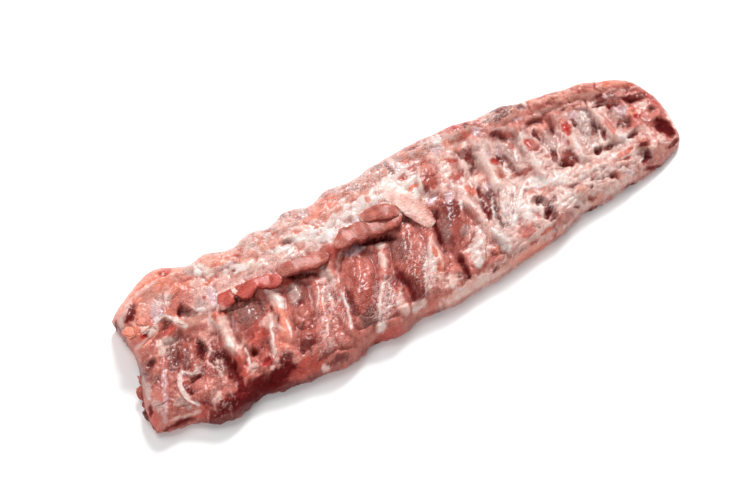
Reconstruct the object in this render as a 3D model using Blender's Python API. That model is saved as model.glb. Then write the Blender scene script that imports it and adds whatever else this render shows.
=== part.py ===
"""A raw rack of pork ribs, lying with its bones and membranes up, as one closed solid.

+X runs along the rack to its narrow rounded end, +Y to the backbone edge and +Z up.
The origin lies under the middle of the rack, on the surface that the rack lies on.
Sizes are in millimetres, and MM turns them into Blender's metres where the mesh is made.
"""

import math

import bmesh
import bpy
import numpy as np

MM = 0.001
RACK = "rib_rack"

# Fineness of the mesh: cells each way, how much they crowd at the rims and how far columns lean
LONG_CELLS = 104
CROSS_CELLS = 38
WALL_ROWS = 3
END_CROWDING = 0.45
SIDE_CROWDING = 0.55
COLUMN_LEAN = 0.05

# Driving sizes of the form: the rounding at each rim, the rim's share of the height there,
# how far the sides draw in below it, and the low swellings all over
BROAD_SHOULDER = 9.0
NARROW_SHOULDER = 20.0
FRONT_SHOULDER = 15.0
BACK_SHOULDER = 20.0
RIM_SHARE = 0.36
UNDERCUT = 7.0
RIPPLE_RISE = 0.5
# Wave lengths along and across, and where each wave starts
RIPPLES = ((31, 17, 0.4), (19, -29, 1.9), (-23, 37, 3.1), (43, 11, 4.6), (15, 23, 5.5))

# Outline seen from above, each side as the points that a smooth curve runs through
FRONT_EDGE = (
    (-252, -47), (-240, -52), (-226, -53), (-212, -63), (-194, -68), (-173, -62), (-150, -66),
    (-122, -70), (-98, -73), (-72, -66), (-55, -71), (-34, -66), (-4, -69), (24, -67),
    (58, -64), (84, -60), (104, -58), (130, -50), (158, -48), (190, -45), (218, -41), (240, -34),
)
BACK_EDGE = (
    (-235, 56), (-213, 68), (-190, 76), (-163, 66), (-148, 69), (-128, 62), (-110, 66),
    (-93, 62), (-76, 69), (-54, 65), (-36, 71), (-16, 69), (8, 73), (32, 75), (60, 75),
    (86, 74), (104, 71), (124, 72), (150, 67), (176, 63), (204, 57), (224, 49), (238, 42),
)
BROAD_END = ((-252, -47), (-252, -34), (-247, -17), (-240, 0), (-235, 20), (-236, 40), (-235, 56))
NARROW_END = ((240, -34), (247, -27), (251, -14), (254, 3), (254, 19), (248, 33), (238, 42))

# Height of the upper side: a row for each place along X, a column for each share of the width,
# from the front rim to the backbone rim
WIDTH_SHARES = (0.0, 0.16, 0.34, 0.5, 0.62, 0.74, 0.88, 1.0)
SECTION_HEIGHTS = (
    (-252, (20, 22, 23, 24, 26, 28, 28, 26)),
    (-222, (21, 24, 24, 25, 29, 32, 33, 28)),
    (-165, (22, 26, 25, 26, 32, 36, 36, 30)),
    (-100, (23, 28, 26, 27, 35, 38, 37, 31)),
    (-40, (23, 28, 27, 28, 35, 38, 37, 31)),
    (20, (22, 27, 27, 28, 31, 34, 36, 31)),
    (80, (21, 26, 27, 25, 25, 29, 33, 30)),
    (130, (20, 25, 25, 21, 21, 25, 30, 27)),
    (180, (18, 23, 23, 19, 19, 21, 26, 24)),
    (225, (15, 18, 19, 18, 19, 21, 24, 22)),
    (250, (13, 14, 15, 16, 17, 18, 19, 18)),
)

# What lies on the upper side is placed on a level sheet at rib height, seen aslant from the
# front: a place higher than the sheet shows further on by SIGHT_SLOPE for each unit of height
SHEET_HEIGHT = 26.0
SIGHT_SLOPE = (0.385, 0.616)

# Ribs: upper end, lower end, half width and rise of each ridge
RIBS = (
    ((-224, 6), (-247, -54), 11, 2.0), ((-200, 30), (-196, 12), 6, 2.0),
    ((-168, 6), (-174, -36), 8, 3.5), ((-136, -14), (-150, -50), 5, 2.5),
    ((-120, 4), (-132, -38), 8, 3.0), ((-88, -6), (-112, -60), 7, 2.5),
    ((-72, 2), (-90, -58), 6, 3.0), ((-44, -28), (-68, -66), 6, 2.5),
    ((-26, -2), (-40, -26), 7, 2.5), ((10, -14), (-20, -62), 6, 2.5),
    ((2, -20), (4, -50), 7, 2.0), ((52, 0), (57, -58), 7, 3.5),
    ((92, 46), (84, 0), 9, 4.0), ((128, 40), (120, -12), 9, 4.0),
    ((162, 34), (156, -14), 8, 4.0), ((190, 26), (193, -14), 7, 4.0),
    ((216, 12), (214, -12), 6, 3.0),
)
# Bumps and hollows: middle, half length, half width, turn in degrees from +X, and rise
BACKBONE_LUMPS = (
    ((-190, 62), 28, 14, 10, 2.5), ((-227, 45), 14, 8, 42, 2.5), ((-228, 26), 10, 10, 0, 3.0),
    ((-150, 54), 24, 11, -10, 3.0), ((-112, 57), 14, 9, 0, 2.0), ((-82, 57), 18, 9, 0, 2.5),
    ((-34, 61), 16, 9, 0, 3.0), ((6, 62), 14, 9, 0, 3.0), ((46, 65), 20, 9, 0, 3.0),
    ((86, 62), 18, 9, 0, 3.5), ((128, 57), 17, 11, 0, 3.5), ((165, 49), 19, 10, -10, 4.0),
    ((198, 43), 19, 10, -18, 4.0), ((228, 33), 14, 6, -32, 3.0),
)
FAT_LUMPS = (
    ((-203, 36), 8, 11, 20, 1.5), ((-128, 36), 14, 8, 0, 2.0), ((-98, 32), 10, 8, 0, 1.5),
    ((-44, 50), 18, 9, 0, 1.5), ((-10, 42), 12, 9, 0, 1.5), ((12, 12), 26, 9, 86, 3.5),
    ((120, -18), 16, 11, 0, 3.0), ((137, -42), 11, 9, 0, 3.0), ((107, -56), 10, 7, 0, 2.5),
    ((160, -30), 20, 8, -14, 2.5), ((188, -29), 9, 7, 0, 2.5), ((206, -27), 9, 7, 0, 2.5),
    ((216, -34), 7, 11, 0, 2.5), ((80, -22), 26, 14, 55, 2.5), ((60, -62), 26, 7, 0, 2.0),
)
MUSCLE_LOBES = (
    ((-203, -14), 18, 10, 74, 4.0), ((-209, -43), 12, 10, 60, 4.0), ((-205, 12), 11, 7, 30, 2.5),
    ((-198, -58), 12, 8, 0, 2.0), ((-150, -10), 27, 12, 70, 4.0), ((-158, -44), 10, 8, 60, 2.0),
    ((-110, -16), 24, 11, 70, 3.5), ((-116, -44), 16, 9, 40, 2.0), ((-64, -26), 39, 15, 62, 5.5),
    ((-17, -26), 40, 14, 66, 5.0), ((30, -12), 29, 13, 57, 5.0), ((38, 33), 18, 10, 66, 3.5),
    ((62, -14), 24, 6, 80, 2.0), ((75, 34), 18, 8, 60, 2.0), ((108, 18), 20, 8, 84, 1.5),
    ((145, 18), 18, 7, 76, 1.5), ((146, -9), 9, 8, 0, 2.0), ((178, 16), 14, 8, 80, 2.0),
    ((207, 4), 12, 7, 80, 1.5), ((218, 21), 22, 7, -20, 3.0), ((-112, -74), 18, 7, 0, 2.0),
    ((-62, -70), 16, 8, 0, 2.0), ((-200, -66), 22, 8, 0, 2.0),
)
HOLLOWS = (
    ((-188, 26), 9, 8, 0, -6.0), ((-231, -4), 6, 5, 0, -2.5), ((-193, -12), 12, 6, 72, -5.0),
    ((-182, -42), 24, 9, 76, -6.0), ((-212, -33), 9, 4, 0, -2.5), ((-161, -40), 14, 5, 76, -3.0),
    ((-97, 8), 12, 6, -34, -5.0), ((-152, 8), 16, 5, -4, -3.0), ((-26, 3), 18, 7, -22, -7.0),
    ((-38, -38), 8, 5, 60, -2.5), ((-30, -40), 12, 5, 80, -2.5), ((23, 2), 9, 6, 60, -3.0),
    ((15, -50), 18, 5, 80, -5.0), ((30, -38), 12, 4, 10, -2.0), ((88, 36), 5, 4, 0, -2.0),
    ((-88, 38), 8, 5, 0, -2.5), ((-138, 38), 6, 4, 0, -1.5), ((75, 21), 6, 8, 0, -3.0),
    ((101, -32), 8, 5, 0, -5.0), ((103, -46), 9, 6, 20, -5.0), ((110, 38), 11, 7, -30, -3.0),
    ((105, -1), 12, 5, 0, -2.5), ((134, -34), 8, 3, 0, -2.0), ((136, -12), 10, 6, 50, -3.5),
    ((142, 36), 9, 5, 0, -2.5), ((150, 22), 14, 4, 66, -3.0), ((171, -15), 8, 6, 0, -3.5),
    ((182, -16), 7, 6, 0, -3.0), ((182, 6), 10, 4, 66, -3.0), ((166, -43), 9, 5, 0, -3.0),
    ((204, -17), 8, 3, 10, -3.0), ((206, -3), 8, 5, 0, -2.5), ((200, -40), 12, 9, 60, -5.0),
    ((233, -3), 6, 6, 0, -2.5), ((230, -24), 16, 9, 80, -8.0),
)
# Strips of skirt meat that lie over the ribs: path, half width and rise
STRIPS = (
    (((-160, 17), (-140, 18), (-124, 14), (-114, 11)), 9, 6.0),
    (((-108, 18), (-94, 20), (-80, 14), (-66, 13)), 10, 6.0),
    (((-56, 18), (-40, 20), (-22, 17), (-4, 19)), 12, 8.0),
)
MEAT_COLOUR = (0.46, 0.16, 0.14, 1.0)


def smooth(at, stations, values):
    """Values given at the stations, joined by a smooth curve and read at every place in at."""
    stations = np.asarray(stations, float)
    values = np.asarray(values, float)
    slopes = np.gradient(values, stations, axis=0)
    low = np.clip(np.searchsorted(stations, at, side="right") - 1, 0, len(stations) - 2)
    gap = stations[low + 1] - stations[low]
    share = np.clip((at - stations[low]) / gap, 0.0, 1.0)

    def taken(table, row):
        if table.ndim == 1:
            return table[row]
        return np.take_along_axis(table, row[None], axis=0)[0]

    rise = share**2 * (3.0 - 2.0 * share)
    start = share * (1.0 - share) ** 2 * gap * taken(slopes, low)
    end = share**2 * (1.0 - share) * gap * taken(slopes, low + 1)
    return taken(values, low) * (1.0 - rise) + taken(values, low + 1) * rise + start - end


def side(points, along):
    """X and Y on one side of the outline, for shares of its length from 0 to 1."""
    points = np.array(points, float)
    steps = np.hypot(*np.diff(points, axis=0).T)
    shares = np.concatenate([[0.0], np.cumsum(steps)]) / steps.sum()
    return np.stack([smooth(along, shares, points[:, axis]) for axis in (0, 1)])


def crowded(share, amount):
    """Shares from 0 to 1 drawn closer together towards both ends."""
    return share - amount * np.sin(2.0 * math.pi * share) / (2.0 * math.pi)


def plan(u, v):
    """X and Y of the upper side, stretched between the four sides of the outline."""
    lean = COLUMN_LEAN * np.sin(math.pi * u)
    front = side(FRONT_EDGE, u - lean)
    back = side(BACK_EDGE, u + lean)
    broad = side(BROAD_END, v)
    narrow = side(NARROW_END, v)
    ends = (FRONT_EDGE[0], FRONT_EDGE[-1], BACK_EDGE[0], BACK_EDGE[-1])
    corner = [np.array(point, float)[:, None] for point in ends]
    between_ends = (1.0 - u) * broad + u * narrow
    between_sides = (1.0 - v) * front + v * back
    corners = (1.0 - u) * (1.0 - v) * corner[0] + u * (1.0 - v) * corner[1]
    corners = corners + (1.0 - u) * v * corner[2] + u * v * corner[3]
    return between_ends + between_sides - corners


def oval(x, y, middle, half_length, half_width, turn):
    """1 in the middle of a turned oval, falling smoothly to 0 at its edge."""
    angle = math.radians(turn)
    dx, dy = x - middle[0], y - middle[1]
    along = (dx * math.cos(angle) + dy * math.sin(angle)) / half_length
    across = (dy * math.cos(angle) - dx * math.sin(angle)) / half_width
    return np.clip(1.0 - along**2 - across**2, 0.0, 1.0) ** 1.5


def strip(x, y, path, half_width):
    """1 on a path of straight pieces, falling in a round to 0 at half_width from it."""
    nearest = np.full_like(x, np.inf)
    for (ax, ay), (bx, by) in zip(path, path[1:]):
        run = (bx - ax) ** 2 + (by - ay) ** 2
        share = np.clip(((x - ax) * (bx - ax) + (y - ay) * (by - ay)) / run, 0.0, 1.0)
        nearest = np.minimum(nearest, np.hypot(x - ax - share * (bx - ax), y - ay - share * (by - ay)))
    return np.clip(1.0 - (nearest / half_width) ** 2, 0.0, 1.0)


def ripple(x, y):
    """Uneven low swellings, so that no two stretches of the rack are alike."""
    waves = [np.sin(x / along + y / across + start) for along, across, start in RIPPLES]
    return RIPPLE_RISE * sum(waves)


def shoulder(inward, radius):
    """0 at the rim and 1 from radius inward, round like a quarter of a circle."""
    short = np.clip(1.0 - inward / radius, 0.0, 1.0)
    return np.sqrt(1.0 - short**2)


def relief(x, y):
    """Rise of what lies on the upper side, at places on the level sheet."""
    rise = ripple(x, y)
    for middle, half_length, half_width, turn, height in (
        *BACKBONE_LUMPS, *FAT_LUMPS, *MUSCLE_LOBES, *HOLLOWS
    ):
        rise = rise + height * oval(x, y, middle, half_length, half_width, turn)
    for path, half_width, height in STRIPS:
        rise = rise + height * strip(x, y, path, half_width)
    for upper, lower, half_width, height in RIBS:
        rise = rise + height * strip(x, y, (upper, lower), half_width) ** 2
    return rise


def heights(x, y, u, v):
    """Height of the upper side: sections along X, what lies on them, and the rounded rims."""
    stations = [row[0] for row in SECTION_HEIGHTS]
    columns = zip(*(row[1] for row in SECTION_HEIGHTS))
    across = np.array([smooth(x, stations, column) for column in columns])
    base = smooth(v, WIDTH_SHARES, across)
    lift = base - SHEET_HEIGHT
    top = base + relief(x + lift * SIGHT_SLOPE[0], y + lift * SIGHT_SLOPE[1])
    width = np.hypot(*(plan(u, np.ones_like(v)) - plan(u, np.zeros_like(v))))
    length = np.hypot(*(plan(np.ones_like(u), v) - plan(np.zeros_like(u), v)))
    full = shoulder(v * width, FRONT_SHOULDER) * shoulder((1.0 - v) * width, BACK_SHOULDER)
    full = full * shoulder(u * length, BROAD_SHOULDER) * shoulder((1.0 - u) * length, NARROW_SHOULDER)
    return top * (RIM_SHARE + (1.0 - RIM_SHARE) * full)


def shape_top(bm):
    """Bends a flat unit grid into the upper side of the rack."""
    flat = np.array([vert.co for vert in bm.verts], float)
    u = crowded(flat[:, 0] + 0.5, END_CROWDING)
    v = crowded(flat[:, 1] + 0.5, SIDE_CROWDING)
    x, y = plan(u, v)
    z = heights(x, y, u, v)
    x = x - (x.min() + x.max()) / 2.0
    y = y - (y.min() + y.max()) / 2.0
    for vert, place in zip(bm.verts, np.stack([x, y, z], axis=1)):
        vert.co = place * MM


def round_under(bm):
    """Draws the rim down and inward in rows to the flat underside, then closes it with one face."""
    half = np.array([vert.co for vert in bm.verts]).max(axis=0)
    edges = [edge for edge in bm.edges if edge.is_boundary]
    inset, height = 0.0, 1.0
    for row in range(1, WALL_ROWS + 1):
        angle = math.pi / 2.0 * row / WALL_ROWS
        next_inset = UNDERCUT * MM * (1.0 - math.cos(angle))
        next_height = 1.0 - math.sin(angle)
        made = bmesh.ops.extrude_edge_only(bm, edges=edges)["geom"]
        for vert in (piece for piece in made if isinstance(piece, bmesh.types.BMVert)):
            vert.co.x *= (half[0] - next_inset) / (half[0] - inset)
            vert.co.y *= (half[1] - next_inset) / (half[1] - inset)
            vert.co.z *= next_height / height
        edges = [piece for piece in made if isinstance(piece, bmesh.types.BMEdge) and piece.is_boundary]
        inset, height = next_inset, next_height
    bmesh.ops.contextual_create(bm, geom=edges)


def meat_material():
    material = bpy.data.materials.new("raw_meat")
    material.use_nodes = True
    surface = material.node_tree.nodes["Principled BSDF"]
    surface.inputs["Base Color"].default_value = MEAT_COLOUR
    surface.inputs["Roughness"].default_value = 0.35
    surface.inputs["Metallic"].default_value = 0.0
    return material


def rack_mesh():
    bm = bmesh.new()
    bmesh.ops.create_grid(bm, x_segments=LONG_CELLS, y_segments=CROSS_CELLS, size=0.5)
    shape_top(bm)
    round_under(bm)
    bmesh.ops.recalc_face_normals(bm, faces=bm.faces)
    mesh = bpy.data.meshes.new(RACK)
    bm.to_mesh(mesh)
    bm.free()
    mesh.materials.append(meat_material())
    mesh.shade_smooth()
    return mesh


def main():
    for old in list(bpy.data.objects):
        bpy.data.objects.remove(old)
    collection = bpy.data.collections.new("rack_of_ribs")
    bpy.context.scene.collection.children.link(collection)
    collection.objects.link(bpy.data.objects.new(RACK, rack_mesh()))


main()
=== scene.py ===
"""A raw rack of pork ribs in full detail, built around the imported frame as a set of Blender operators.

The rack lies with its bones up: +X runs to its narrow end, +Y to the backbone edge and +Z up.
Shapes are worked out in millimetres on a plan whose point MIDDLE is the frame's origin.
"""

import math

import bpy
import numpy as np
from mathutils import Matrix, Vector
from mathutils.bvhtree import BVHTree


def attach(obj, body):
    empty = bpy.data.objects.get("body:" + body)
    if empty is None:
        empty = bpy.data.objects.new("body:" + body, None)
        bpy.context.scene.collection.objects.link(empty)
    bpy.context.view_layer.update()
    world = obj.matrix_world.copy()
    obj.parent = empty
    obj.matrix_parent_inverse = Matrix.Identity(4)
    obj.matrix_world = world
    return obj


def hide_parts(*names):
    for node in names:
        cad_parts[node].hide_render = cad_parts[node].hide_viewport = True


bl_info = {
    "name": "Raw rack of ribs",
    "version": (1, 0, 0),
    "blender": (4, 5, 0),
    "location": "3D View > Sidebar > Ribs",
    "description": "Builds a raw rack of pork ribs with its strips, strands and fat, and a studio for it",
    "category": "Object",
}

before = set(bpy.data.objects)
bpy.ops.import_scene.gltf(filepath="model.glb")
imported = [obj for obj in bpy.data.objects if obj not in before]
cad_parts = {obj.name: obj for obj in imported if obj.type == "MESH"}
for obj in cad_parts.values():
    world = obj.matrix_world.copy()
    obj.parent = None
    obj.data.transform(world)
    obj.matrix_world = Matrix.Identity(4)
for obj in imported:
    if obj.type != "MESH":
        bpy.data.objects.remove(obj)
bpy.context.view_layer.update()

MM = 0.001
RACK = "rib_rack"
MEAT = "ribs_meat"
MIDDLE = (1.18, 1.47)

# Where the camera stands on the plan, and the level sheet that all places are marked on as it sees them
EYE = (-497.55, -745.85, 1234.19)
TO_EYE = (-0.31148, -0.49847, 0.80902)
SHEET_HEIGHT = 26.0

# Rounding at each rim, the rim's share of the height and how far the sides draw in at the foot
BROAD_SHOULDER = 9.0
NARROW_SHOULDER = 20.0
FRONT_SHOULDER = 15.0
BACK_SHOULDER = 20.0
RIM_SHARE = 0.36
UNDERCUT = 7.0

# Ripples all over the relief: length along X, length along Y and start of each wave
RIPPLES = ((31, 17, 0.4), (19, -29, 1.9), (-23, 37, 3.1), (43, 11, 4.6), (15, 23, 5.5))
RIPPLE_RISE = 0.5

# How much further lobes and ribs rise than their tables say, the crease round a lobe, and the share of the
# first reading of the relief that the second one is read at
LOBE_SWELL = 1.35
RIB_SWELL = 1.3
CREASE_DEPTH = 1.0
CREASE_WIDTH = 1.8
FIRST_SHARE = 0.6

# Grid of the skin: the spans that its cells are counted on, its crowding towards the ends and the sides,
# the lean of its columns and the rows of its walls
GRID_SPANS = (507.0, 149.0)
END_CROWDING = 0.2
SIDE_CROWDING = 0.3
COLUMN_LEAN = 0.05
WALL_ROWS = 11

# Share of the fine rise that the walls take sideways, and the heights between which the rim fades it out
WALL_SHARE = 0.6
RIM_FADE = (5.0, 16.0)

# Unrolling of the paint at the back and the narrow end: the spans that it is measured on, how far the rim
# falls there, and the fall from which the camera no longer sees it
UNROLLED_LENGTH = 500.0
UNROLLED_WIDTH = 140.0
NARROW_FALL = 12.0
BACK_FALL = 21.0
HIDDEN_FROM = 6.0

# Cells on each side of the lattice that noise repeats over
LATTICE = 89

# Outline seen from above, each side as the points that a smooth curve runs through
FRONT_EDGE = (
    (-252, -47), (-240, -52), (-226, -53), (-212, -63), (-194, -68), (-173, -62), (-150, -66),
    (-122, -70), (-98, -73), (-72, -66), (-55, -71), (-34, -66), (-4, -69), (24, -67),
    (58, -64), (84, -60), (104, -58), (130, -50), (158, -48), (190, -45), (218, -41), (240, -34),
)
BACK_EDGE = (
    (-235, 56), (-213, 68), (-190, 76), (-163, 66), (-148, 69), (-128, 62), (-110, 66),
    (-93, 62), (-76, 69), (-54, 65), (-36, 71), (-16, 69), (8, 73), (32, 75), (60, 75),
    (86, 74), (104, 71), (124, 72), (150, 67), (176, 63), (204, 57), (224, 49), (238, 42),
)
BROAD_END = ((-252, -47), (-252, -34), (-247, -17), (-240, 0), (-235, 20), (-236, 40), (-235, 56))
NARROW_END = ((240, -34), (247, -27), (251, -14), (254, 3), (254, 19), (248, 33), (238, 42))

# Height of the upper side: a row for each place along X, a column for each share of the width
WIDTH_SHARES = (0.0, 0.16, 0.34, 0.5, 0.62, 0.74, 0.88, 1.0)
SECTION_HEIGHTS = (
    (-252, (20, 22, 23, 24, 26, 28, 28, 26)),
    (-222, (21, 24, 24, 25, 29, 32, 33, 28)),
    (-165, (22, 26, 25, 26, 32, 36, 36, 30)),
    (-100, (23, 28, 26, 27, 35, 38, 37, 31)),
    (-40, (23, 28, 27, 28, 35, 38, 37, 31)),
    (20, (22, 27, 27, 28, 31, 34, 36, 31)),
    (80, (21, 26, 27, 25, 25, 29, 33, 30)),
    (130, (20, 25, 25, 21, 21, 25, 30, 27)),
    (180, (18, 23, 23, 19, 19, 21, 26, 24)),
    (225, (15, 18, 19, 18, 19, 21, 24, 22)),
    (250, (13, 14, 15, 16, 17, 18, 19, 18)),
)

# Ribs: upper end, lower end, half width and rise of each ridge
RIBS = (
    ((-224, 6), (-247, -54), 11, 2.0), ((-200, 30), (-196, 12), 6, 2.0),
    ((-168, 6), (-174, -36), 8, 3.5), ((-136, -14), (-150, -50), 5, 2.5),
    ((-120, 4), (-132, -38), 8, 3.0), ((-88, -6), (-112, -60), 7, 2.5),
    ((-72, 2), (-90, -58), 6, 3.0), ((-44, -28), (-68, -66), 6, 2.5),
    ((-26, -2), (-40, -26), 7, 2.5), ((10, -14), (-20, -62), 6, 2.5),
    ((2, -20), (4, -50), 7, 2.0), ((52, 0), (57, -58), 7, 3.5),
    ((92, 46), (84, 0), 9, 4.0), ((128, 40), (120, -12), 9, 4.0),
    ((162, 34), (156, -14), 8, 4.0), ((190, 26), (193, -14), 7, 4.0),
    ((216, 12), (214, -12), 6, 3.0),
)
# Bumps and hollows: middle, half length, half width, turn in degrees from +X, and rise
BACKBONE_LUMPS = (
    ((-190, 62), 28, 14, 10, 2.5), ((-227, 45), 14, 8, 42, 2.5), ((-228, 26), 10, 10, 0, 3.0),
    ((-150, 54), 24, 11, -10, 3.0), ((-112, 57), 14, 9, 0, 2.0), ((-82, 57), 18, 9, 0, 2.5),
    ((-34, 61), 16, 9, 0, 3.0), ((6, 62), 14, 9, 0, 3.0), ((46, 65), 20, 9, 0, 3.0),
    ((86, 62), 18, 9, 0, 3.5), ((128, 57), 17, 11, 0, 3.5), ((165, 49), 19, 10, -10, 4.0),
    ((198, 43), 19, 10, -18, 4.0), ((228, 33), 14, 6, -32, 3.0),
)
FAT_LUMPS = (
    ((-203, 36), 8, 11, 20, 1.5), ((-128, 36), 14, 8, 0, 2.0), ((-98, 32), 10, 8, 0, 1.5),
    ((-44, 50), 18, 9, 0, 1.5), ((-10, 42), 12, 9, 0, 1.5), ((12, 12), 26, 9, 86, 1.5),
    ((120, -18), 16, 11, 0, 3.0), ((137, -42), 11, 9, 0, 3.0), ((107, -56), 10, 7, 0, 2.5),
    ((160, -30), 20, 8, -14, 2.5), ((188, -29), 9, 7, 0, 2.5), ((206, -27), 9, 7, 0, 2.5),
    ((216, -34), 7, 11, 0, 2.5), ((80, -22), 26, 14, 55, 2.5), ((60, -62), 26, 7, 0, 2.0),
)
MUSCLE_LOBES = (
    ((-203, -14), 18, 10, 74, 4.0), ((-209, -43), 12, 10, 60, 4.0), ((-205, 12), 11, 7, 30, 2.5),
    ((-198, -58), 12, 8, 0, 2.0), ((-150, -10), 27, 12, 70, 4.0), ((-158, -44), 10, 8, 60, 2.0),
    ((-110, -16), 24, 11, 70, 3.5), ((-116, -44), 16, 9, 40, 2.0), ((-64, -26), 39, 15, 62, 5.5),
    ((-17, -26), 40, 14, 66, 5.0), ((30, -12), 29, 13, 57, 5.0), ((38, 33), 18, 10, 66, 3.5),
    ((62, -14), 24, 6, 80, 2.0), ((75, 34), 18, 8, 60, 2.0), ((108, 18), 20, 8, 84, 1.5),
    ((145, 18), 18, 7, 76, 1.5), ((146, -9), 9, 8, 0, 2.0), ((178, 16), 14, 8, 80, 2.0),
    ((207, 4), 12, 7, 80, 1.5), ((218, 21), 22, 7, -20, 3.0), ((-112, -74), 18, 7, 0, 2.0),
    ((-62, -70), 16, 8, 0, 2.0), ((-200, -66), 22, 8, 0, 2.0),
)
HOLLOWS = (
    ((-188, 26), 6, 6, 0, -4.5), ((-231, -4), 6, 5, 0, -2.5), ((-193, -12), 11, 5, 72, -3.5),
    ((-182, -42), 24, 8, 76, -4.5), ((-212, -33), 9, 4, 0, -2.5), ((-161, -40), 14, 5, 76, -3.0),
    ((-97, 8), 12, 6, -34, -5.0), ((-152, 8), 16, 5, -4, -3.0), ((-26, 3), 18, 7, -22, -7.0),
    ((-38, -38), 8, 5, 60, -2.5), ((-30, -40), 12, 5, 80, -2.5), ((23, 2), 9, 6, 60, -3.0),
    ((15, -50), 18, 5, 80, -5.0), ((30, -38), 12, 4, 10, -2.0), ((88, 36), 5, 4, 0, -2.0),
    ((-88, 38), 8, 5, 0, -2.5), ((-138, 38), 6, 4, 0, -1.5), ((75, 21), 6, 8, 0, -3.0),
    ((101, -32), 8, 5, 0, -5.0), ((103, -46), 9, 6, 20, -5.0), ((110, 38), 11, 7, -30, -3.0),
    ((105, -1), 12, 5, 0, -2.5), ((134, -34), 8, 3, 0, -2.0), ((136, -12), 10, 6, 50, -3.5),
    ((142, 36), 9, 5, 0, -2.5), ((150, 22), 14, 4, 66, -3.0), ((171, -15), 8, 6, 0, -3.5),
    ((182, -16), 7, 6, 0, -3.0), ((182, 6), 10, 4, 66, -3.0), ((166, -43), 9, 5, 0, -3.0),
    ((204, -17), 8, 3, 10, -3.0), ((206, -3), 8, 5, 0, -2.5), ((200, -40), 12, 9, 60, -5.0),
    ((233, -3), 6, 6, 0, -2.5), ((230, -24), 16, 9, 80, -8.0),
)
# Beds that the skirt strips lie on: path, half width and rise
STRIP_BEDS = (
    (((-160, 17), (-140, 18), (-124, 14), (-114, 11)), 9, 2.0),
    (((-108, 18), (-94, 20), (-80, 14), (-66, 13)), 10, 2.0),
    (((-56, 18), (-40, 20), (-22, 17), (-4, 19)), 12, 2.5),
)

# Zones of crumbly fat and torn membrane: middle, half length, half width, turn and height of the crumbs
CRUMBLY_ZONES = (
    ((140, -42), 90, 20, 4, 2.2), ((190, -32), 30, 14, -4, 2.2), ((40, -62), 60, 12, 3, 1.8),
    ((-90, -62), 70, 10, 0, 2.0), ((-205, -34), 30, 34, 0, 1.2), ((-20, 48), 40, 16, 0, 0.8),
    ((-96, 38), 30, 12, 0, 0.8), ((-140, 44), 24, 12, 0, 0.8), ((218, 12), 22, 26, 0, 1.4),
    ((-150, -50), 24, 14, 0, 1.6), ((78, -30), 20, 16, 60, 1.2), ((-224, 28), 14, 12, 0, 1.8),
)

# Tissue fields and patches in painting order: tissue, middle, half length, half width, turn in degrees
BROAD_FIELDS = (
    ("salmon", (-200, 54), 50, 22, 8),
    ("brown", (-232, -22), 42, 17, 76), ("lean", (-198, -32), 45, 22, 82),
    ("pink", (-165, 22), 30, 18, 0), ("rose", (-100, -28), 75, 44, 0), ("fat", (-62, 38), 92, 18, 0),
    ("pink", (-125, 40), 34, 17, 0), ("rose", (-22, -32), 50, 34, 60), ("rose", (30, -18), 34, 18, 60),
    ("fat", (18, 36), 30, 24, 0), ("pink", (66, 32), 30, 34, 0), ("cream", (100, 8), 54, 44, 0),
    ("cream", (78, -30), 36, 40, 0), ("cream", (182, 2), 50, 32, 0), ("rose", (222, 4), 26, 30, 0),
    ("cream", (140, -36), 84, 26, 5), ("tan", (20, 63), 170, 9, 0), ("tan", (180, 48), 60, 12, -14),
    ("dark", (-160, -73), 90, 9, 0), ("tan", (40, -72), 90, 8, 3), ("brown", (-90, -74), 50, 8, 0),
)
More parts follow.
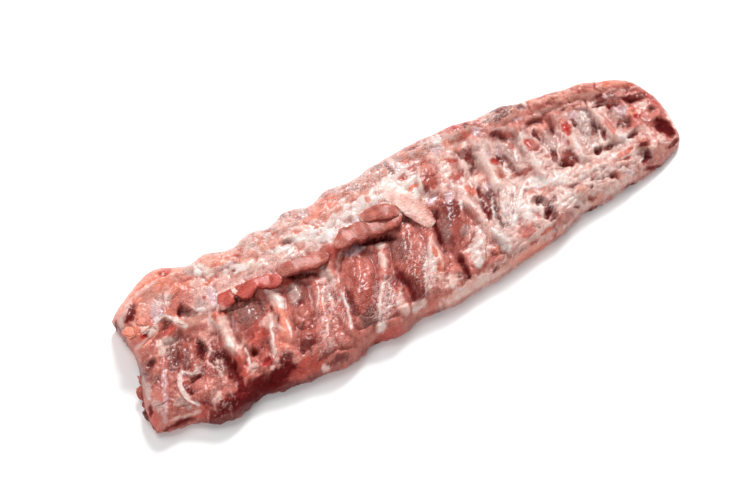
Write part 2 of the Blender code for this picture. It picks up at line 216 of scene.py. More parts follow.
BROAD_END_PATCHES = (
    ("salmon", (-198, 60), 30, 11, 12), ("tan", (-206, 46), 18, 7, 48), ("pink", (-205, 58), 15, 2, 14),
    ("red", (-183, 65), 7, 4, 20), ("tan", (-171, 57), 13, 7, -15), ("grey", (-166, 54), 5, 5, 0),
    ("fat", (-157, 52), 9, 8, 0), ("pink", (-162, 43), 12, 5, 0), ("orange", (-158, 39), 9, 2.5, 8),
    ("dark", (-224, 45), 11, 5.5, 48), ("maroon", (-227, 42), 6, 2, 48),
    ("orange", (-233, 50), 6, 3, 60), ("mauve", (-236, 33), 8, 2, 76),
    ("maroon", (-237, 39), 5, 1.6, 85), ("orange", (-228, 24), 10, 8, 0),
    ("blood", (-224, 21), 4, 2.2, 0), ("red", (-233, 20), 3, 4, 0), ("lilac", (-204, 37), 9, 5.5, 52),
    ("cream", (-195, 41), 7, 6, 20), ("grey", (-190, 41), 4, 3.5, 0), ("lilac", (-208, 30), 6, 4, 30),
    ("cream", (-216, 22), 7, 3.5, 35), ("lean", (-205, 19), 9, 7, 40), ("red", (-206, 15), 7, 4, 10),
    ("dark", (-204, 6), 8, 4, 30), ("brown", (-194, 6), 12, 9, 0), ("orange", (-194, 28), 9, 4, 85),
    ("rose", (-185, 32), 10, 12, 0), ("maroon", (-189, 27), 6, 3.2, 62),
    ("deep", (-191, 25), 4, 1.8, 62), ("mauve", (-185, 21), 6, 6, 0), ("tan", (-184, 12), 12, 5, 0),
    ("orange", (-188, 39), 5, 2.5, 40), ("brown", (-179, 40), 2, 1.6, 0),
    ("brown", (-173, 40), 2, 1.6, 0), ("grey", (-175, 24), 6, 6, 0), ("white", (-177, 20), 3, 2, 0),
    ("lilac", (-163, 25), 6, 10, 0), ("red", (-169, 27), 1.5, 1.5, 0), ("orange", (-167, 8), 8, 4.5, 0),
    ("pink", (-176, 2), 4, 9, 0), ("tan", (-186, -2), 7, 6, 0), ("cream", (-213, 5), 9, 7, 0),
    ("cream", (-218, 2), 6, 5, 0), ("mauve", (-238, -12), 14, 9, 70),
    ("dark", (-231, -4), 5.5, 3.2, 50), ("brown", (-230, -12), 4, 3, 50),
    ("rose", (-238, -28), 9, 5, 70), ("brown", (-237, -29), 5, 3.5, 60),
    ("grey", (-245, -38), 6, 4, 70), ("grey", (-244, -22), 10, 3, 75), ("brown", (-236, -46), 7, 6, 60),
    ("brown", (-233, -49), 4, 3, 30), ("grey", (-230, -44), 4, 4.5, 60), ("grey", (-226, -49), 3, 6, 0),
    ("mauve", (-216, -8), 12, 5, 68), ("dark", (-210, -9), 11, 4, 66),
    ("dark", (-219, -37), 7, 2.6, 80), ("maroon", (-218, -39), 4, 1.2, 80),
    ("brown", (-250, -26), 9, 3, 62), ("red", (-253, -46), 10, 5, 70),
    ("maroon", (-251, -40), 7, 2, 65), ("maroon", (-238, -60), 14, 3, 0),
    ("red", (-222, -61), 8, 2.5, -20),
)
LEFT_LEAN_PATCHES = (
    ("lean", (-205, -15), 17, 7, 72), ("mauve", (-206, -12), 8, 3, 72), ("rose", (-200, -20), 9, 3, 72),
    ("maroon", (-193, -12), 9, 3.8, 76), ("deep", (-193, -13), 5, 2, 76),
    ("dark", (-187, -34), 20, 8, 76), ("mauve", (-189, -36), 11, 4.5, 78),
    ("deep", (-184, -26), 6, 2.5, -55), ("maroon", (-180, -44), 15, 3, 76),
    ("deep", (-181, -44), 8, 1.6, 76), ("cream", (-203, -27), 4, 3, 30),
    ("rose", (-208, -43), 11, 8.5, 20), ("brown", (-198, -44), 5, 8, 0), ("rose", (-190, -48), 5, 6, 0),
    ("red", (-214, -56), 7, 6, 30), ("pink", (-204, -54), 6, 4.5, 40), ("brown", (-193, -54), 6, 4, 0),
    ("maroon", (-196, -67), 24, 9, 4), ("deep", (-192, -69), 15, 6, 4),
    ("maroon", (-184, -60), 5, 8, 0), ("dark", (-205, -74), 26, 4, 6),
    ("pink", (-170, -12), 21, 6.5, 82), ("fat", (-172, -20), 8, 2.4, 80),
    ("pink", (-165, -24), 6, 4, 50), ("red", (-175, -44), 15, 3.6, 82),
    ("rose", (-163, -13), 13, 3.4, 76), ("lilac", (-161, -8), 8, 1.6, 76),
    ("cream", (-167, -46), 4, 4, 0), ("maroon", (-158, -34), 7, 3, 60),
    ("blood", (-156, -47), 6, 4, 30), ("maroon", (-155, -45), 4, 2, 30),
    ("brown", (-160, -56), 9, 5, 20), ("pink", (-156, -56), 2, 4, 0), ("maroon", (-155, -66), 20, 8, 0),
    ("deep", (-157, -67), 11, 5, 0),
)
BACK_PATCHES = (
    ("salmon", (-143, 55), 18, 8, -14), ("orange", (-126, 50), 7, 4.5, 30),
    ("red", (-127, 48), 3, 2, 0), ("grey", (-139, 43), 12, 3.5, -4), ("lilac", (-135, 44), 5, 2, 0),
    ("fat", (-132, 37), 13, 4.5, -5), ("brown", (-138, 37.5), 2.2, 1.6, 0),
    ("tan", (-134, 32), 9, 2.2, 4), ("pink", (-118, 38), 9, 15, 0), ("salmon", (-117, 45), 4, 2.5, -40),
    ("tan", (-112, 58), 13, 5, 0), ("lilac", (-113, 55), 4, 4, 0), ("brown", (-108, 56), 2, 4, 10),
    ("salmon", (-98, 52), 17, 6, -4), ("white", (-97, 53), 2.6, 2, 0), ("brown", (-92, 47), 5, 2.6, 20),
    ("red", (-93, 57), 6, 2, -10), ("brown", (-78, 63), 14, 3, -4), ("dark", (-76, 62), 5, 2, 0),
    ("salmon", (-84, 56), 10, 3.5, 0), ("grey", (-63, 58), 7, 6, 0), ("lilac", (-64, 55), 3, 5, 70),
    ("salmon", (-52, 56), 9, 5, 0), ("pink", (-75, 45), 12, 6, 0), ("salmon", (-76, 44), 6, 1.8, -30),
    ("white", (-94, 33), 9, 4, -20), ("brown", (-88, 38.5), 4.5, 2.6, -24),
    ("tan", (-82, 30), 6, 4.5, 20), ("grey", (-87, 40), 6, 2, -20), ("tan", (-61, 40), 6, 2, 0),
    ("white", (-60, 28), 10, 5, 0), ("brown", (-36, 64), 10, 3.2, -4), ("lilac", (-29, 62), 3, 4, 0),
    ("brown", (-20, 61), 4, 5, 0), ("salmon", (-43, 54), 15, 5.5, 4), ("tan", (-8, 57), 10, 2.8, -6),
    ("grey", (-15, 56), 4, 5, 0), ("tan", (-14, 42), 6.5, 3.2, 78), ("brown", (5, 65), 12, 3.6, 0),
    ("dark", (12, 66), 4, 2.6, 0), ("dark", (18, 61), 9, 2.6, 98), ("mauve", (18, 54), 4, 1.8, 95),
    ("lilac", (23, 58), 9, 1.6, 96), ("pink", (25, 59), 9, 1.2, 96), ("lilac", (27, 57), 7, 1.2, 96),
    ("salmon", (39, 61), 11, 6, 6), ("brown", (48, 69), 16, 3, -4), ("dark", (46, 67), 8, 1.6, -12),
    ("brown", (57, 62), 8, 2.4, 102), ("lilac", (57, 55), 6, 2, 100), ("grey", (-1, 44), 5, 1.7, -16),
    ("grey", (5, 40), 1.6, 2, 0), ("brown", (22, 45), 5.4, 3.4, 0), ("red", (22, 44), 3, 2, 0),
    ("salmon", (24, 32), 7, 3, 8), ("fat", (66, 61), 6, 7, 0), ("lilac", (62, 56), 3, 6, 80),
    ("red", (78, 68), 9, 3.2, 0), ("blood", (92, 66), 9, 3.4, 0), ("maroon", (95, 64), 5, 2, 0),
    ("brown", (101, 61), 4, 6, 0), ("rose", (106, 62), 5, 6, 0), ("lilac", (97, 54), 7, 3, 52),
    ("orange", (87, 56), 6, 4, -10), ("salmon", (74, 57), 9, 4, 0), ("salmon", (117, 64), 6, 4, 0),
    ("grey", (116, 60), 8, 4, 0), ("dark", (129, 63), 15, 4, -16), ("mauve", (127, 56), 9, 4, -10),
    ("tan", (128, 50), 12, 4, 0), ("mauve", (143, 57), 2.6, 5, 0), ("fat", (147, 57), 1.8, 5, 10),
    ("lilac", (133, 46), 5, 2, -20), ("tan", (157, 54), 10, 5, 0),
)
# Dark marks along the front of the broad end: the deep ones are painted shade, the maroon ones partly so.
LEFT_ACCENTS = (
    ("deep", (-166, -62), 16, 6, 6), ("maroon", (-186, -62), 14, 6, 20), ("deep", (-196, -68), 18, 5, 4),
    ("maroon", (-183, -40), 14, 3.6, 78), ("deep", (-149, -62), 11, 5, 4), ("red", (-132, -64), 12, 4, 8),
)
STRIP_ZONE_PATCHES = (
    ("tan", (-122, 44), 12, 4.5, -12), ("tan", (-98, 44), 13, 4.5, 6), ("fat", (-72, 37), 16, 5, -14),
    ("tan", (-47, 45), 15, 4.5, 8), ("fat", (-34, 36), 15, 4.5, -6), ("tan", (-20, 49), 12, 4, 10),
    ("salmon", (-58, 50), 12, 3.2, 12), ("pink", (-104, 31), 14, 4, -8),
    # The maroon and deep patches below the strips are painted shadow under them.
    ("maroon", (-153, 17), 6, 9, 0), ("deep", (-152, 13), 4, 4, 0), ("maroon", (-142, 10), 12, 2.6, -2),
    ("maroon", (-104, 8), 5, 4, -30), ("red", (-108, 8), 6, 4, -30), ("deep", (-92, 5), 12, 2.6, -34),
    ("red", (-66, 14), 9, 7, 0), ("brown", (-69, 18), 5, 3, 0), ("cream", (-77, 6), 6, 3, 40),
    ("deep", (-27, 4), 15, 4, -24), ("maroon", (-42, 9), 10, 2, -10), ("brown", (4, 27), 9, 3.4, 96),
    ("dark", (3, 21), 4, 2.4, 96), ("mauve", (2, 8), 6, 3.2, 66),
)
RIB_LEAN_PATCHES = (
    ("lean", (-146, -10), 22, 13, 68), ("mauve", (-145, -2), 13, 10, 20),
    ("red", (-150, -24), 12, 8, 50), ("lean", (-152, -36), 9, 6, 60), ("pink", (-123, 1), 14, 6, 74),
    ("salmon", (-127, -20), 16, 5, 74), ("fat", (-121, -7), 7, 4, 74),
    ("maroon", (-130, -8), 3.4, 1.8, 70), ("maroon", (-132, -18), 4, 2, 80),
    ("brown", (-115, -2), 2.4, 3.4, 60), ("lean", (-108, -18), 25, 9.5, 64),
    ("mauve", (-107, -7), 13, 7, 62), ("grey", (-109, -5), 8, 4, 62),
    ("maroon", (-108, -15), 3.6, 2.2, -50), ("rose", (-114, -28), 11, 6, 66),
    ("lean", (-117, -41), 12, 8, 50), ("dark", (-123, -50), 11, 4.5, 24),
    ("pink", (-138, -17), 9, 6, 60), ("salmon", (-138, -38), 11, 6, 60),
    ("dark", (-144, -53), 7, 3.4, 10), ("rose", (-124, -60), 16, 5, 20),
    ("rose", (-98, -30), 30, 7, 62), ("orange", (-97, -26), 9, 3.4, 56),
    ("brown", (-93, -42), 6, 3.6, 10), ("rose", (-102, -52), 10, 7, 50),
    ("pink", (-79, -6), 12, 5.5, 74), ("rose", (-84, -30), 14, 4.4, 76),
    ("red", (-84, -37), 6.5, 1.8, 78), ("lean", (-61, -27), 35, 13.5, 65),
    ("dark", (-75, -35), 18, 4, 80), ("mauve", (-72, -55), 11, 8, 60), ("rose", (-52, -14), 12, 7, 60),
    ("lilac", (-47, 5), 11, 3.6, 4), ("brown", (-87, -64), 6, 7, 80), ("rose", (-50, -52), 10, 7, 60),
    ("brown", (-56, -63), 9, 5, 40), ("maroon", (-149, -63), 13, 7.5, 0),
    ("deep", (-152, -64), 8, 4, 0), ("red", (-134, -70), 16, 6, 0), ("brown", (-105, -72), 20, 6, 0),
    ("dark", (-112, -75), 10, 3, 0), ("cream", (-123, -76), 4, 4, 0), ("deep", (-80, -78), 6, 2.4, 0),
    ("red", (-66, -75), 16, 4.4, 0), ("rose", (-80, -70), 8, 5, 0), ("cream", (-68, -66), 6, 4, 40),
)
MIDDLE_LEAN_PATCHES = (
    ("rose", (-41, -13), 12, 9, 60), ("cream", (-28, -3), 4.6, 3.2, -30),
    ("pink", (-34, -14), 9, 3.6, 66), ("red", (-42, -29), 6, 3.4, 30),
    ("salmon", (-35, -36), 3.6, 3.2, 0), ("blood", (-38.5, -39), 5.6, 2.1, 76),
    ("lean", (-17, -28), 39, 13, 66), ("mauve", (-18, -12), 13, 7, 62),
    ("rose", (-3, -14), 16, 4.4, 66), ("maroon", (-30, -36), 9, 4.2, 82),
    ("dark", (-26, -48), 14, 6.5, 74), ("maroon", (-31, -52), 9, 2.4, 74),
    ("pink", (-44, -58), 13, 5, 72), ("cream", (-34, -66), 8, 4, 30), ("pink", (-2, -40), 26, 7, 63),
    ("orange", (4, -32), 8.5, 3, 80), ("salmon", (-1, -44), 8, 2.8, 60), ("rose", (6, -47), 7, 5, 60),
    ("pink", (-2, -58), 8, 9, 20), ("mauve", (10, -60), 4, 7, 0), ("brown", (-14, -57), 9, 3.8, 66),
    ("dark", (29, -13), 27, 11.5, 57), ("mauve", (25, -13), 19, 5.5, 62),
    ("dark", (38, -3), 13, 6.5, 70), ("lean", (32, -20), 14, 5, 60), ("rose", (47, -13), 10, 3.4, 80),
    ("maroon", (17, -14), 18, 2.2, 70), ("maroon", (24, -1), 5.4, 2.8, 50),
    ("grey", (36, -24), 8, 3.6, 50), ("pink", (36, -45), 18, 8, 52), ("fat", (34, -43), 10, 3, 50),
    ("fat", (25, -41.5), 4.4, 1.4, 4), ("rose", (21, -48), 7, 5, 60),
    ("maroon", (16, -54), 14, 3.6, 76), ("deep", (15, -60), 7, 2, 76), ("brown", (23, -61), 7, 3, 10),
    ("fat", (28, -56), 6, 4, 40), ("lilac", (30, 14), 6, 4, 30), ("lilac", (43, 9), 8, 3.6, 32),
    ("tan", (22, 19), 4, 3, 60), ("brown", (40, 35), 14.5, 8.5, 66), ("lean", (40, 33), 11, 6, 66),
    ("dark", (32, 25), 5, 4, 60), ("brown", (33, 48), 6, 3, 20), ("orange", (45, 49), 4, 1.8, 0),
    # The white patch at (46, -2) is a painted glint.
    ("cream", (53, 14), 24, 5.5, 84), ("white", (46, -2), 4.4, 1.4, 84), ("pink", (54, -40), 22, 6, 88),
    ("fat", (54, -50), 11, 4, 84), ("salmon", (46, -53), 7, 1.8, 70), ("red", (-23, -75), 11, 4.4, 4),
    ("dark", (-22, -77), 7, 2.6, 4), ("salmon", (-6, -73), 9, 3, 0), ("pink", (16, -73), 42, 7, 3),
    ("dark", (34, -69), 4, 1.6, 10), ("tan", (50, -70), 14, 4, 4),
)
RIGHT_RIB_PATCHES = (
    ("mauve", (67, -14), 18, 6.5, 66), ("dark", (62, -17), 13, 3.6, 66),
    ("grey", (79, -22), 15, 6.5, 62), ("mauve", (70, -32), 9, 5, 50), ("maroon", (66, -33), 7, 3.4, 60),
    ("red", (66, 38), 6.5, 3, -20), ("orange", (61, 42), 5, 2, -20), ("rose", (59, 24), 6, 5, 0),
    ("red", (60, 23), 3.2, 2.6, 0), ("red", (66, 26), 2, 2, 0), ("orange", (61, 6), 4.6, 5.4, 20),
    ("mauve", (77, 40), 10, 5, 118), ("dark", (79, 35), 11, 3, 62), ("tan", (74, 48), 5, 3, 0),
    ("mauve", (74, 24), 3.4, 1.8, -10), ("brown", (74, 18), 3.6, 1.2, 8), ("tan", (75, 12), 4, 6, 0),
    ("cream", (90, 24), 21, 6.5, 80), ("lilac", (93, 29), 5, 3.2, 80), ("rose", (94, 20), 5, 4.4, 0),
    ("blood", (94, 21), 3, 2.6, 20), ("tan", (91, 9), 4, 4.6, 0), ("brown", (91, 6), 2, 3, 0),
    ("dark", (110, 42), 9, 5, -28), ("dark", (112, 36), 7, 5, 40), ("red", (119, 38), 5.4, 3.4, -30),
    ("grey", (106, 19), 16, 6, 86), ("lilac", (104, 26), 8, 4, 80), ("brown", (114, 26), 7, 3, 62),
    ("brown", (105, -1), 11.5, 3, 0), ("grey", (106, -6), 9, 2, 0), ("cream", (126, 14), 26, 6.5, 84),
    ("rose", (128, 20), 10, 4.4, 94), ("red", (128, 22), 7, 3, 96), ("blood", (128, 22), 4.6, 1.4, 96),
    ("rose", (133, 3), 2.2, 2.2, 0), ("tan", (143, 26), 7, 5, 60), ("grey", (141, 12), 8, 5, 70),
    ("dark", (146, 37), 9, 4, -14), ("brown", (153, 32), 8, 3.4, 80), ("dark", (150, 20), 9, 2.6, 66),
    ("maroon", (142, 4), 9, 1.8, 64), ("lean", (147, -9), 7, 8, 0), ("maroon", (142, -10), 5, 3, 60),
    ("maroon", (139, -13), 6, 1.8, -30), ("white", (112, -16), 14, 6, -6),
    ("salmon", (103, -13), 2.2, 2.2, 0), ("orange", (121, -14), 2.6, 1, 52),
    ("fat", (128, -22), 9, 7, 0), ("maroon", (66, 0), 6, 3, 70), ("dark", (61, -16), 11, 5, 78),
    ("maroon", (60, -18), 6, 3, 70), ("dark", (66, -33), 8, 4.4, 110), ("lilac", (76, 0), 6, 2.6, 10),
    ("cream", (80, -20), 24, 9, 58), ("white", (76, -30), 12, 2.6, 60),
    ("brown", (78, -27), 6, 1.2, 60), ("fat", (90, -38), 10, 9, 0), ("rose", (76, -51), 10, 6, 20),
    ("tan", (91, -43), 2.4, 4, 0), ("pink", (66, -48), 9, 1.6, 110), ("fat", (56, -50), 8, 3, 80),
    ("grey", (107, 17), 16, 7, 84), ("mauve", (102, 12), 12, 2.6, 84), ("dark", (98, 20), 8, 1.8, 80),
    ("grey", (143, 14), 14, 6, 70), ("dark", (138, 24), 10, 2.0, 76), ("maroon", (137, 0), 9, 2.4, 66),
    ("dark", (148, -8), 7, 6, 0),
)
NARROW_END_PATCHES = (
    ("grey", (177, 12), 20, 8, 72), ("dark", (171, 20), 9, 2.2, 76), ("mauve", (183, 2), 12, 3.4, 66),
    ("cream", (160, 8), 24, 6.5, 84), ("rose", (162, 20), 9, 5, 80), ("red", (162, 17), 7, 5, 60),
    # The white patch at (161, -1) is a painted glint.
    ("blood", (162, 18), 3.8, 2.6, 60), ("red", (155, 4), 3.6, 1.5, 84), ("white", (161, -1), 3, 2, 60),
    ("tan", (180, 33), 9, 3.4, -8), ("brown", (182, 34.5), 5, 1.8, -30), ("grey", (177, 16), 12, 6, 62),
    # The white patch at (184, 22) is a painted glint.
    ("lilac", (176, 25), 6, 3, -10), ("white", (184, 22), 2, 3.6, 20), ("maroon", (185, 9), 6, 1.5, 70),
    ("brown", (177, 1), 7, 1.8, 50), ("dark", (184, -4), 6, 2, 60), ("grey", (170, -4), 9, 4, 70),
    ("maroon", (171, -14), 5.4, 4, 20), ("dark", (180, -17), 5.4, 3.2, 0),
    ("pink", (192, 8), 20, 5.5, 88), ("rose", (193, 0), 9, 3, 84), ("grey", (205, 10), 8, 8, 0),
    ("mauve", (206, -3), 6, 4, 0), ("dark", (208, -7), 3, 2, 0), ("grey", (203, -13), 6, 2.6, 0),
    ("fat", (196, -15), 4, 8, 0), ("deep", (203, -18), 6.4, 1.7, 12), ("dark", (205, 28), 9, 5, -4),
    ("maroon", (198, 23), 6, 2, -22), ("blood", (206, 18), 3, 1.8, 0), ("mauve", (214, 27), 4, 4, 0),
    ("lilac", (210, 28), 1.6, 3, 0), ("dark", (228, 16), 13, 4.6, -24),
    ("maroon", (224, 16), 8, 3, -20), ("lilac", (213, 11), 6, 6, 0), ("salmon", (220, 4), 5, 7, 80),
    ("blood", (219, -3), 3, 2.6, 0), ("cream", (230, 5), 5, 5, 0), ("mauve", (234, -3), 4.4, 3.6, 30),
    ("dark", (234, -4), 2.6, 2.4, 0), ("red", (240, 4), 14, 2.2, 88), ("deep", (229, -22), 9, 6, 80),
    ("rose", (216, -9), 7, 4, -10), ("lean", (224, -14), 6, 4, -40),
    # The maroon and deep patches at (231, -25) are painted shade in the hollow at the narrow end.
    ("maroon", (231, -24), 12, 7.4, 80), ("deep", (231, -25), 11, 6, 80),
    ("deep", (231, -25), 9, 5, 80), ("pink", (240.5, -25), 13, 2.6, 86),
    ("pink", (215, -18), 8, 4, -48), ("pink", (213, -33), 4, 4, 0), ("cream", (221, -33), 4, 5, 0),
    ("orange", (188, -28), 8, 3.2, 6), ("rose", (186, -35), 5, 3, 10), ("brown", (206, -28), 7, 5, 0),
    ("dark", (205, -29), 3.4, 2.6, 0), ("dark", (199, -41), 10, 6, 60),
    ("maroon", (198, -41), 6, 3.4, 60), ("maroon", (197, -52), 7, 2.6, 0),
    ("maroon", (226, -41), 9, 2.2, 16), ("tan", (212, -42), 5, 4, 0), ("tan", (163, 47), 17, 8, -4),
    ("rose", (160, 48), 11, 4, 0), ("red", (166, 57.5), 10, 2.4, -12), ("lean", (172, 54), 7, 2.4, -20),
    ("tan", (198, 43), 18, 8, -12), ("rose", (200, 44), 12, 5, -10),
    ("salmon", (223, 37), 10, 5.4, -30), ("orange", (217, 40), 5, 2.4, -20),
    ("red", (234, 27), 4.4, 3, -50), ("maroon", (170, -57), 6, 1.8, 4),
)
FRONT_RIM_PATCHES = (
    ("tan", (108, -24), 13, 4, -24), ("mauve", (102, -28), 6, 3, -20),
    ("mauve", (99, -32), 5.4, 3.0, 34), ("mauve", (109, -37), 9, 4, -10),
    ("dark", (102, -43), 8, 4, 50), ("maroon", (101, -45), 5, 1.6, 52), ("brown", (107, -56), 9, 5, 20),
    ("mauve", (103, -50), 6, 2, 0), ("tan", (136, -41), 9, 6.5, 0), ("dark", (133, -33), 4.4, 1.4, 4),
    ("dark", (144, -43), 3.4, 1.6, 30), ("fat", (122, -42), 10, 7, 0),
    ("dark", (121, -53), 3, 1.8, -30), ("tan", (141, -54), 7, 4, 20), ("brown", (138, -52), 3, 4, 0),
    ("red", (74, -63), 6, 1.8, 10), ("orange", (90, -59), 9, 1.5, 4), ("red", (92, -66), 5, 1.8, 50),
    ("salmon", (70, -69), 18, 3.6, 3), ("maroon", (133, -60.5), 10, 1.5, 0),
    ("dark", (85, -53), 1.8, 1.6, 0), ("brown", (150, -36), 2.6, 1.4, 30),
    ("brown", (167, -43), 8, 4, 4), ("dark", (164, -43), 4, 2, 20), ("tan", (172, -46), 5, 3, 0),
    ("lilac", (177, -47), 3, 3, 0), ("tan", (156, -24), 4, 2, 40),
)
BACK_WALL_PATCHES = (
    ("rose", (-222, 76), 26, 14, 30), ("pink", (-205, 90), 28, 9, 4), ("lean", (-176, 84), 20, 9, -8),
    ("cream", (-150, 92), 24, 8, 6), ("brown", (-126, 85), 17, 8, -4), ("pink", (-98, 91), 28, 9, 0),
    ("lean", (-70, 85), 19, 8, 6), ("cream", (-42, 92), 26, 9, -5), ("brown", (-14, 86), 18, 8, 4),
    ("pink", (18, 93), 27, 9, 0), ("lean", (50, 86), 19, 8, -6), ("cream", (80, 92), 24, 8, 4),
    ("brown", (108, 84), 17, 8, 0), ("pink", (138, 82), 26, 9, -8), ("lean", (170, 74), 18, 8, -12),
    ("cream", (200, 66), 24, 8, -16), ("brown", (226, 56), 18, 9, -24),
)
PATCHES = (
    *BACK_WALL_PATCHES, *BROAD_END_PATCHES, *LEFT_LEAN_PATCHES, *BACK_PATCHES, *RIB_LEAN_PATCHES,
    *MIDDLE_LEAN_PATCHES, *RIGHT_RIB_PATCHES, *NARROW_END_PATCHES, *FRONT_RIM_PATCHES,
    *STRIP_ZONE_PATCHES, *LEFT_ACCENTS,
)
# Lines on the surface: tissue, half width and path
LINES = (
    ("pink", 1.6, ((-234, 38), (-227, 48), (-214, 57))),
    ("fat", 2.2, ((-210, 27), (-202, 29), (-198, 21), (-192, 12))),
    ("orange", 1.8, ((-237, 10), (-224, 14), (-213, 18))),
    ("pink", 1.3, ((-233, 14), (-222, 18), (-212, 24))),
    ("lilac", 2.0, ((-225, -14), (-233, -28), (-246, -52))),
    ("fat", 2.0, ((-216, -22), (-211, -28), (-203, -30))),
    ("fat", 1.9, ((-217, -23), (-223, -34), (-223, -46), (-218, -54))),
    ("maroon", 0.9, ((-212, -34), (-201, -33))), ("cream", 1.0, ((-185, -13), (-192, -22))),
    ("pink", 1.2, ((-195, -24), (-192, -33), (-192, -42))),
    ("pink", 1.1, ((-245, -53), (-228, -58), (-220, -58))), ("white", 0.8, ((-164, -30), (-168, -42))),
    ("fat", 1.2, ((-172, 15), (-175, 4))), ("pink", 1.2, ((-186, -11), (-174, -7))),
    ("pink", 0.9, ((-180, -14), (-171, 2))),
    ("brown", 1.0, ((-70, 60), (-68, 52), (-62, 42), (-61, 34))), ("rose", 1.0, ((-24, 58), (-22, 45))),
    ("fat", 1.2, ((-20, 60), (-18, 50))), ("fat", 1.4, ((-138, -20), (-144, -34), (-150, -46))),
    ("fat", 1.0, ((-136, -24), (-132, -31))), ("white", 0.8, ((-125, -22), (-130, -38))),
    ("pink", 1.0, ((-96, -6), (-104, -26))), ("fat", 0.9, ((-90, -10), (-100, -26), (-104, -32))),
    ("fat", 1.0, ((-86, -12), (-95, -26))),
    ("pink", 1.3, ((-88, -22), (-90, -32), (-98, -40), (-112, -54))),
    ("white", 1.1, ((-78, -22), (-80, -38), (-88, -56))),
    ("pink", 1.6, ((-60, 8), (-68, -3), (-74, -14))), ("maroon", 0.9, ((-59, 4), (-68, -6))),
    ("brown", 0.8, ((-68, -5), (-57, -12))),
    ("fat", 1.3, ((-46, -34), (-56, -45), (-66, -60), (-72, -69))),
    ("maroon", 0.6, ((-34, -6), (-39, -18))),
    ("fat", 0.9, ((8, -16), (-2, -28), (-12, -42), (-25, -62))),
    ("fat", 0.9, ((2, -26), (-14, -48), (-18, -58))), ("pink", 0.8, ((8, -28), (4, -40))),
    # The dark line here is painted shade in a crease, and the maroon one is painted shade on a lobe's left
    # edge.
    ("dark", 1.0, ((24, -38), (33, -36), (41, -29))), ("maroon", 0.9, ((24, 0), (18, -12), (14, -32))),
    ("fat", 1.1, ((34, 42), (30, 30), (24, 20))),
    ("pink", 1.8, ((142, 45), (150, 41), (158, 43), (170, 37), (181, 39), (190, 33))),
    ("pink", 1.4, ((210, 31), (219, 31), (228, 25), (239, 22))),
    ("tan", 1.0, ((152, -25), (160, -23), (172, -29), (183, -35))),
    ("white", 0.9, ((70, -10), (60, -30))), ("white", 0.8, ((84, -4), (70, -28))),
    ("white", 0.9, ((90, -12), (74, -38))), ("mauve", 0.7, ((80, -6), (70, -22))),
    ("mauve", 0.7, ((88, -14), (78, -30))), ("white", 0.8, ((46, -30), (32, -50))),
    ("mauve", 0.6, ((48, -36), (34, -56))), ("fat", 1.0, ((150, 12), (140, -4))),
    ("lilac", 0.9, ((156, 12), (150, 2))), ("brown", 1.1, ((153, 60), (148, 50), (146, 43))),
    ("brown", 0.9, ((184, 54), (180, 46), (180, 38))), ("red", 1.2, ((212, 46), (208, 40), (209, 34))),
    ("fat", 0.9, ((188, 12), (178, -8))), ("lilac", 0.8, ((166, 8), (158, -8))),
    ("fat", 1.0, ((200, -34), (192, -44))),
)
# Streaky tissue laid over the broad fields: tissue, middle, half length, half width and turn of the field,
# turn of its fibres, their share of the field and their breadth
STREAK_FIELDS = (
    ("fat", (0, 96), 290, 24, 0, 2, 0.34, 4.0), ("lean", (0, 100), 290, 22, 0, -2, 0.26, 3.4),
    ("pink", (-233, -26), 44, 14, 76, 76, 0.08, 1.8), ("rose", (-236, -30), 36, 12, 76, 70, 0.34, 2.0),
    ("fat", (-186, 18), 22, 14, 0, 40, 0.24, 1.5), ("fat", (-140, -34), 34, 10, 64, 64, 0.40, 1.4),
    ("pink", (-110, -24), 30, 9, 64, 60, 0.16, 1.1), ("white", (-122, -60), 26, 7, 10, 58, 0.34, 1.3),
    ("white", (-60, -56), 18, 5, 56, 56, 0.40, 1.1), ("pink", (-60, -24), 30, 12, 64, 66, 0.12, 1.0),
    ("fat", (-42, -14), 12, 8, 60, 64, 0.34, 1.1), ("white", (0, -58), 10, 9, 0, 60, 0.40, 1.2),
    ("pink", (30, -12), 24, 10, 58, 60, 0.14, 1.0), ("rose", (78, -20), 30, 14, 58, 58, 0.20, 1.1),
    ("mauve", (106, 18), 17, 8, 86, -6, 0.30, 1.3), ("white", (110, -12), 18, 9, 0, 30, 0.36, 1.6),
    ("rose", (150, 10), 26, 18, 84, 64, 0.14, 1.5), ("mauve", (180, 8), 26, 16, 76, 62, 0.16, 1.4),
    ("rose", (210, 8), 20, 16, 0, 30, 0.30, 1.8), ("pink", (215, 22), 24, 8, -20, -20, 0.22, 1.3),
    ("rose", (150, -36), 70, 16, 4, -14, 0.26, 2.2), ("fat", (70, -64), 50, 7, 3, 36, 0.30, 1.5),
    ("rose", (20, -72), 40, 6, 3, 12, 0.34, 1.8), ("salmon", (-50, 38), 84, 15, 0, -16, 0.20, 2.6),
    ("white", (-64, 32), 60, 12, 0, -10, 0.32, 2.4), ("pink", (-190, 56), 34, 14, 14, 20, 0.18, 2.4),
    ("brown", (10, 64), 60, 7, 0, 84, 0.26, 1.6), ("fat", (20, 30), 14, 20, 0, 70, 0.3, 1.6),
    ("rose", (62, 30), 24, 18, 0, 40, 0.26, 2.0), ("salmon", (185, 46), 40, 10, -14, -14, 0.16, 1.8),
    ("fat", (-122, 36), 22, 12, 0, -10, 0.34, 2.2),
)
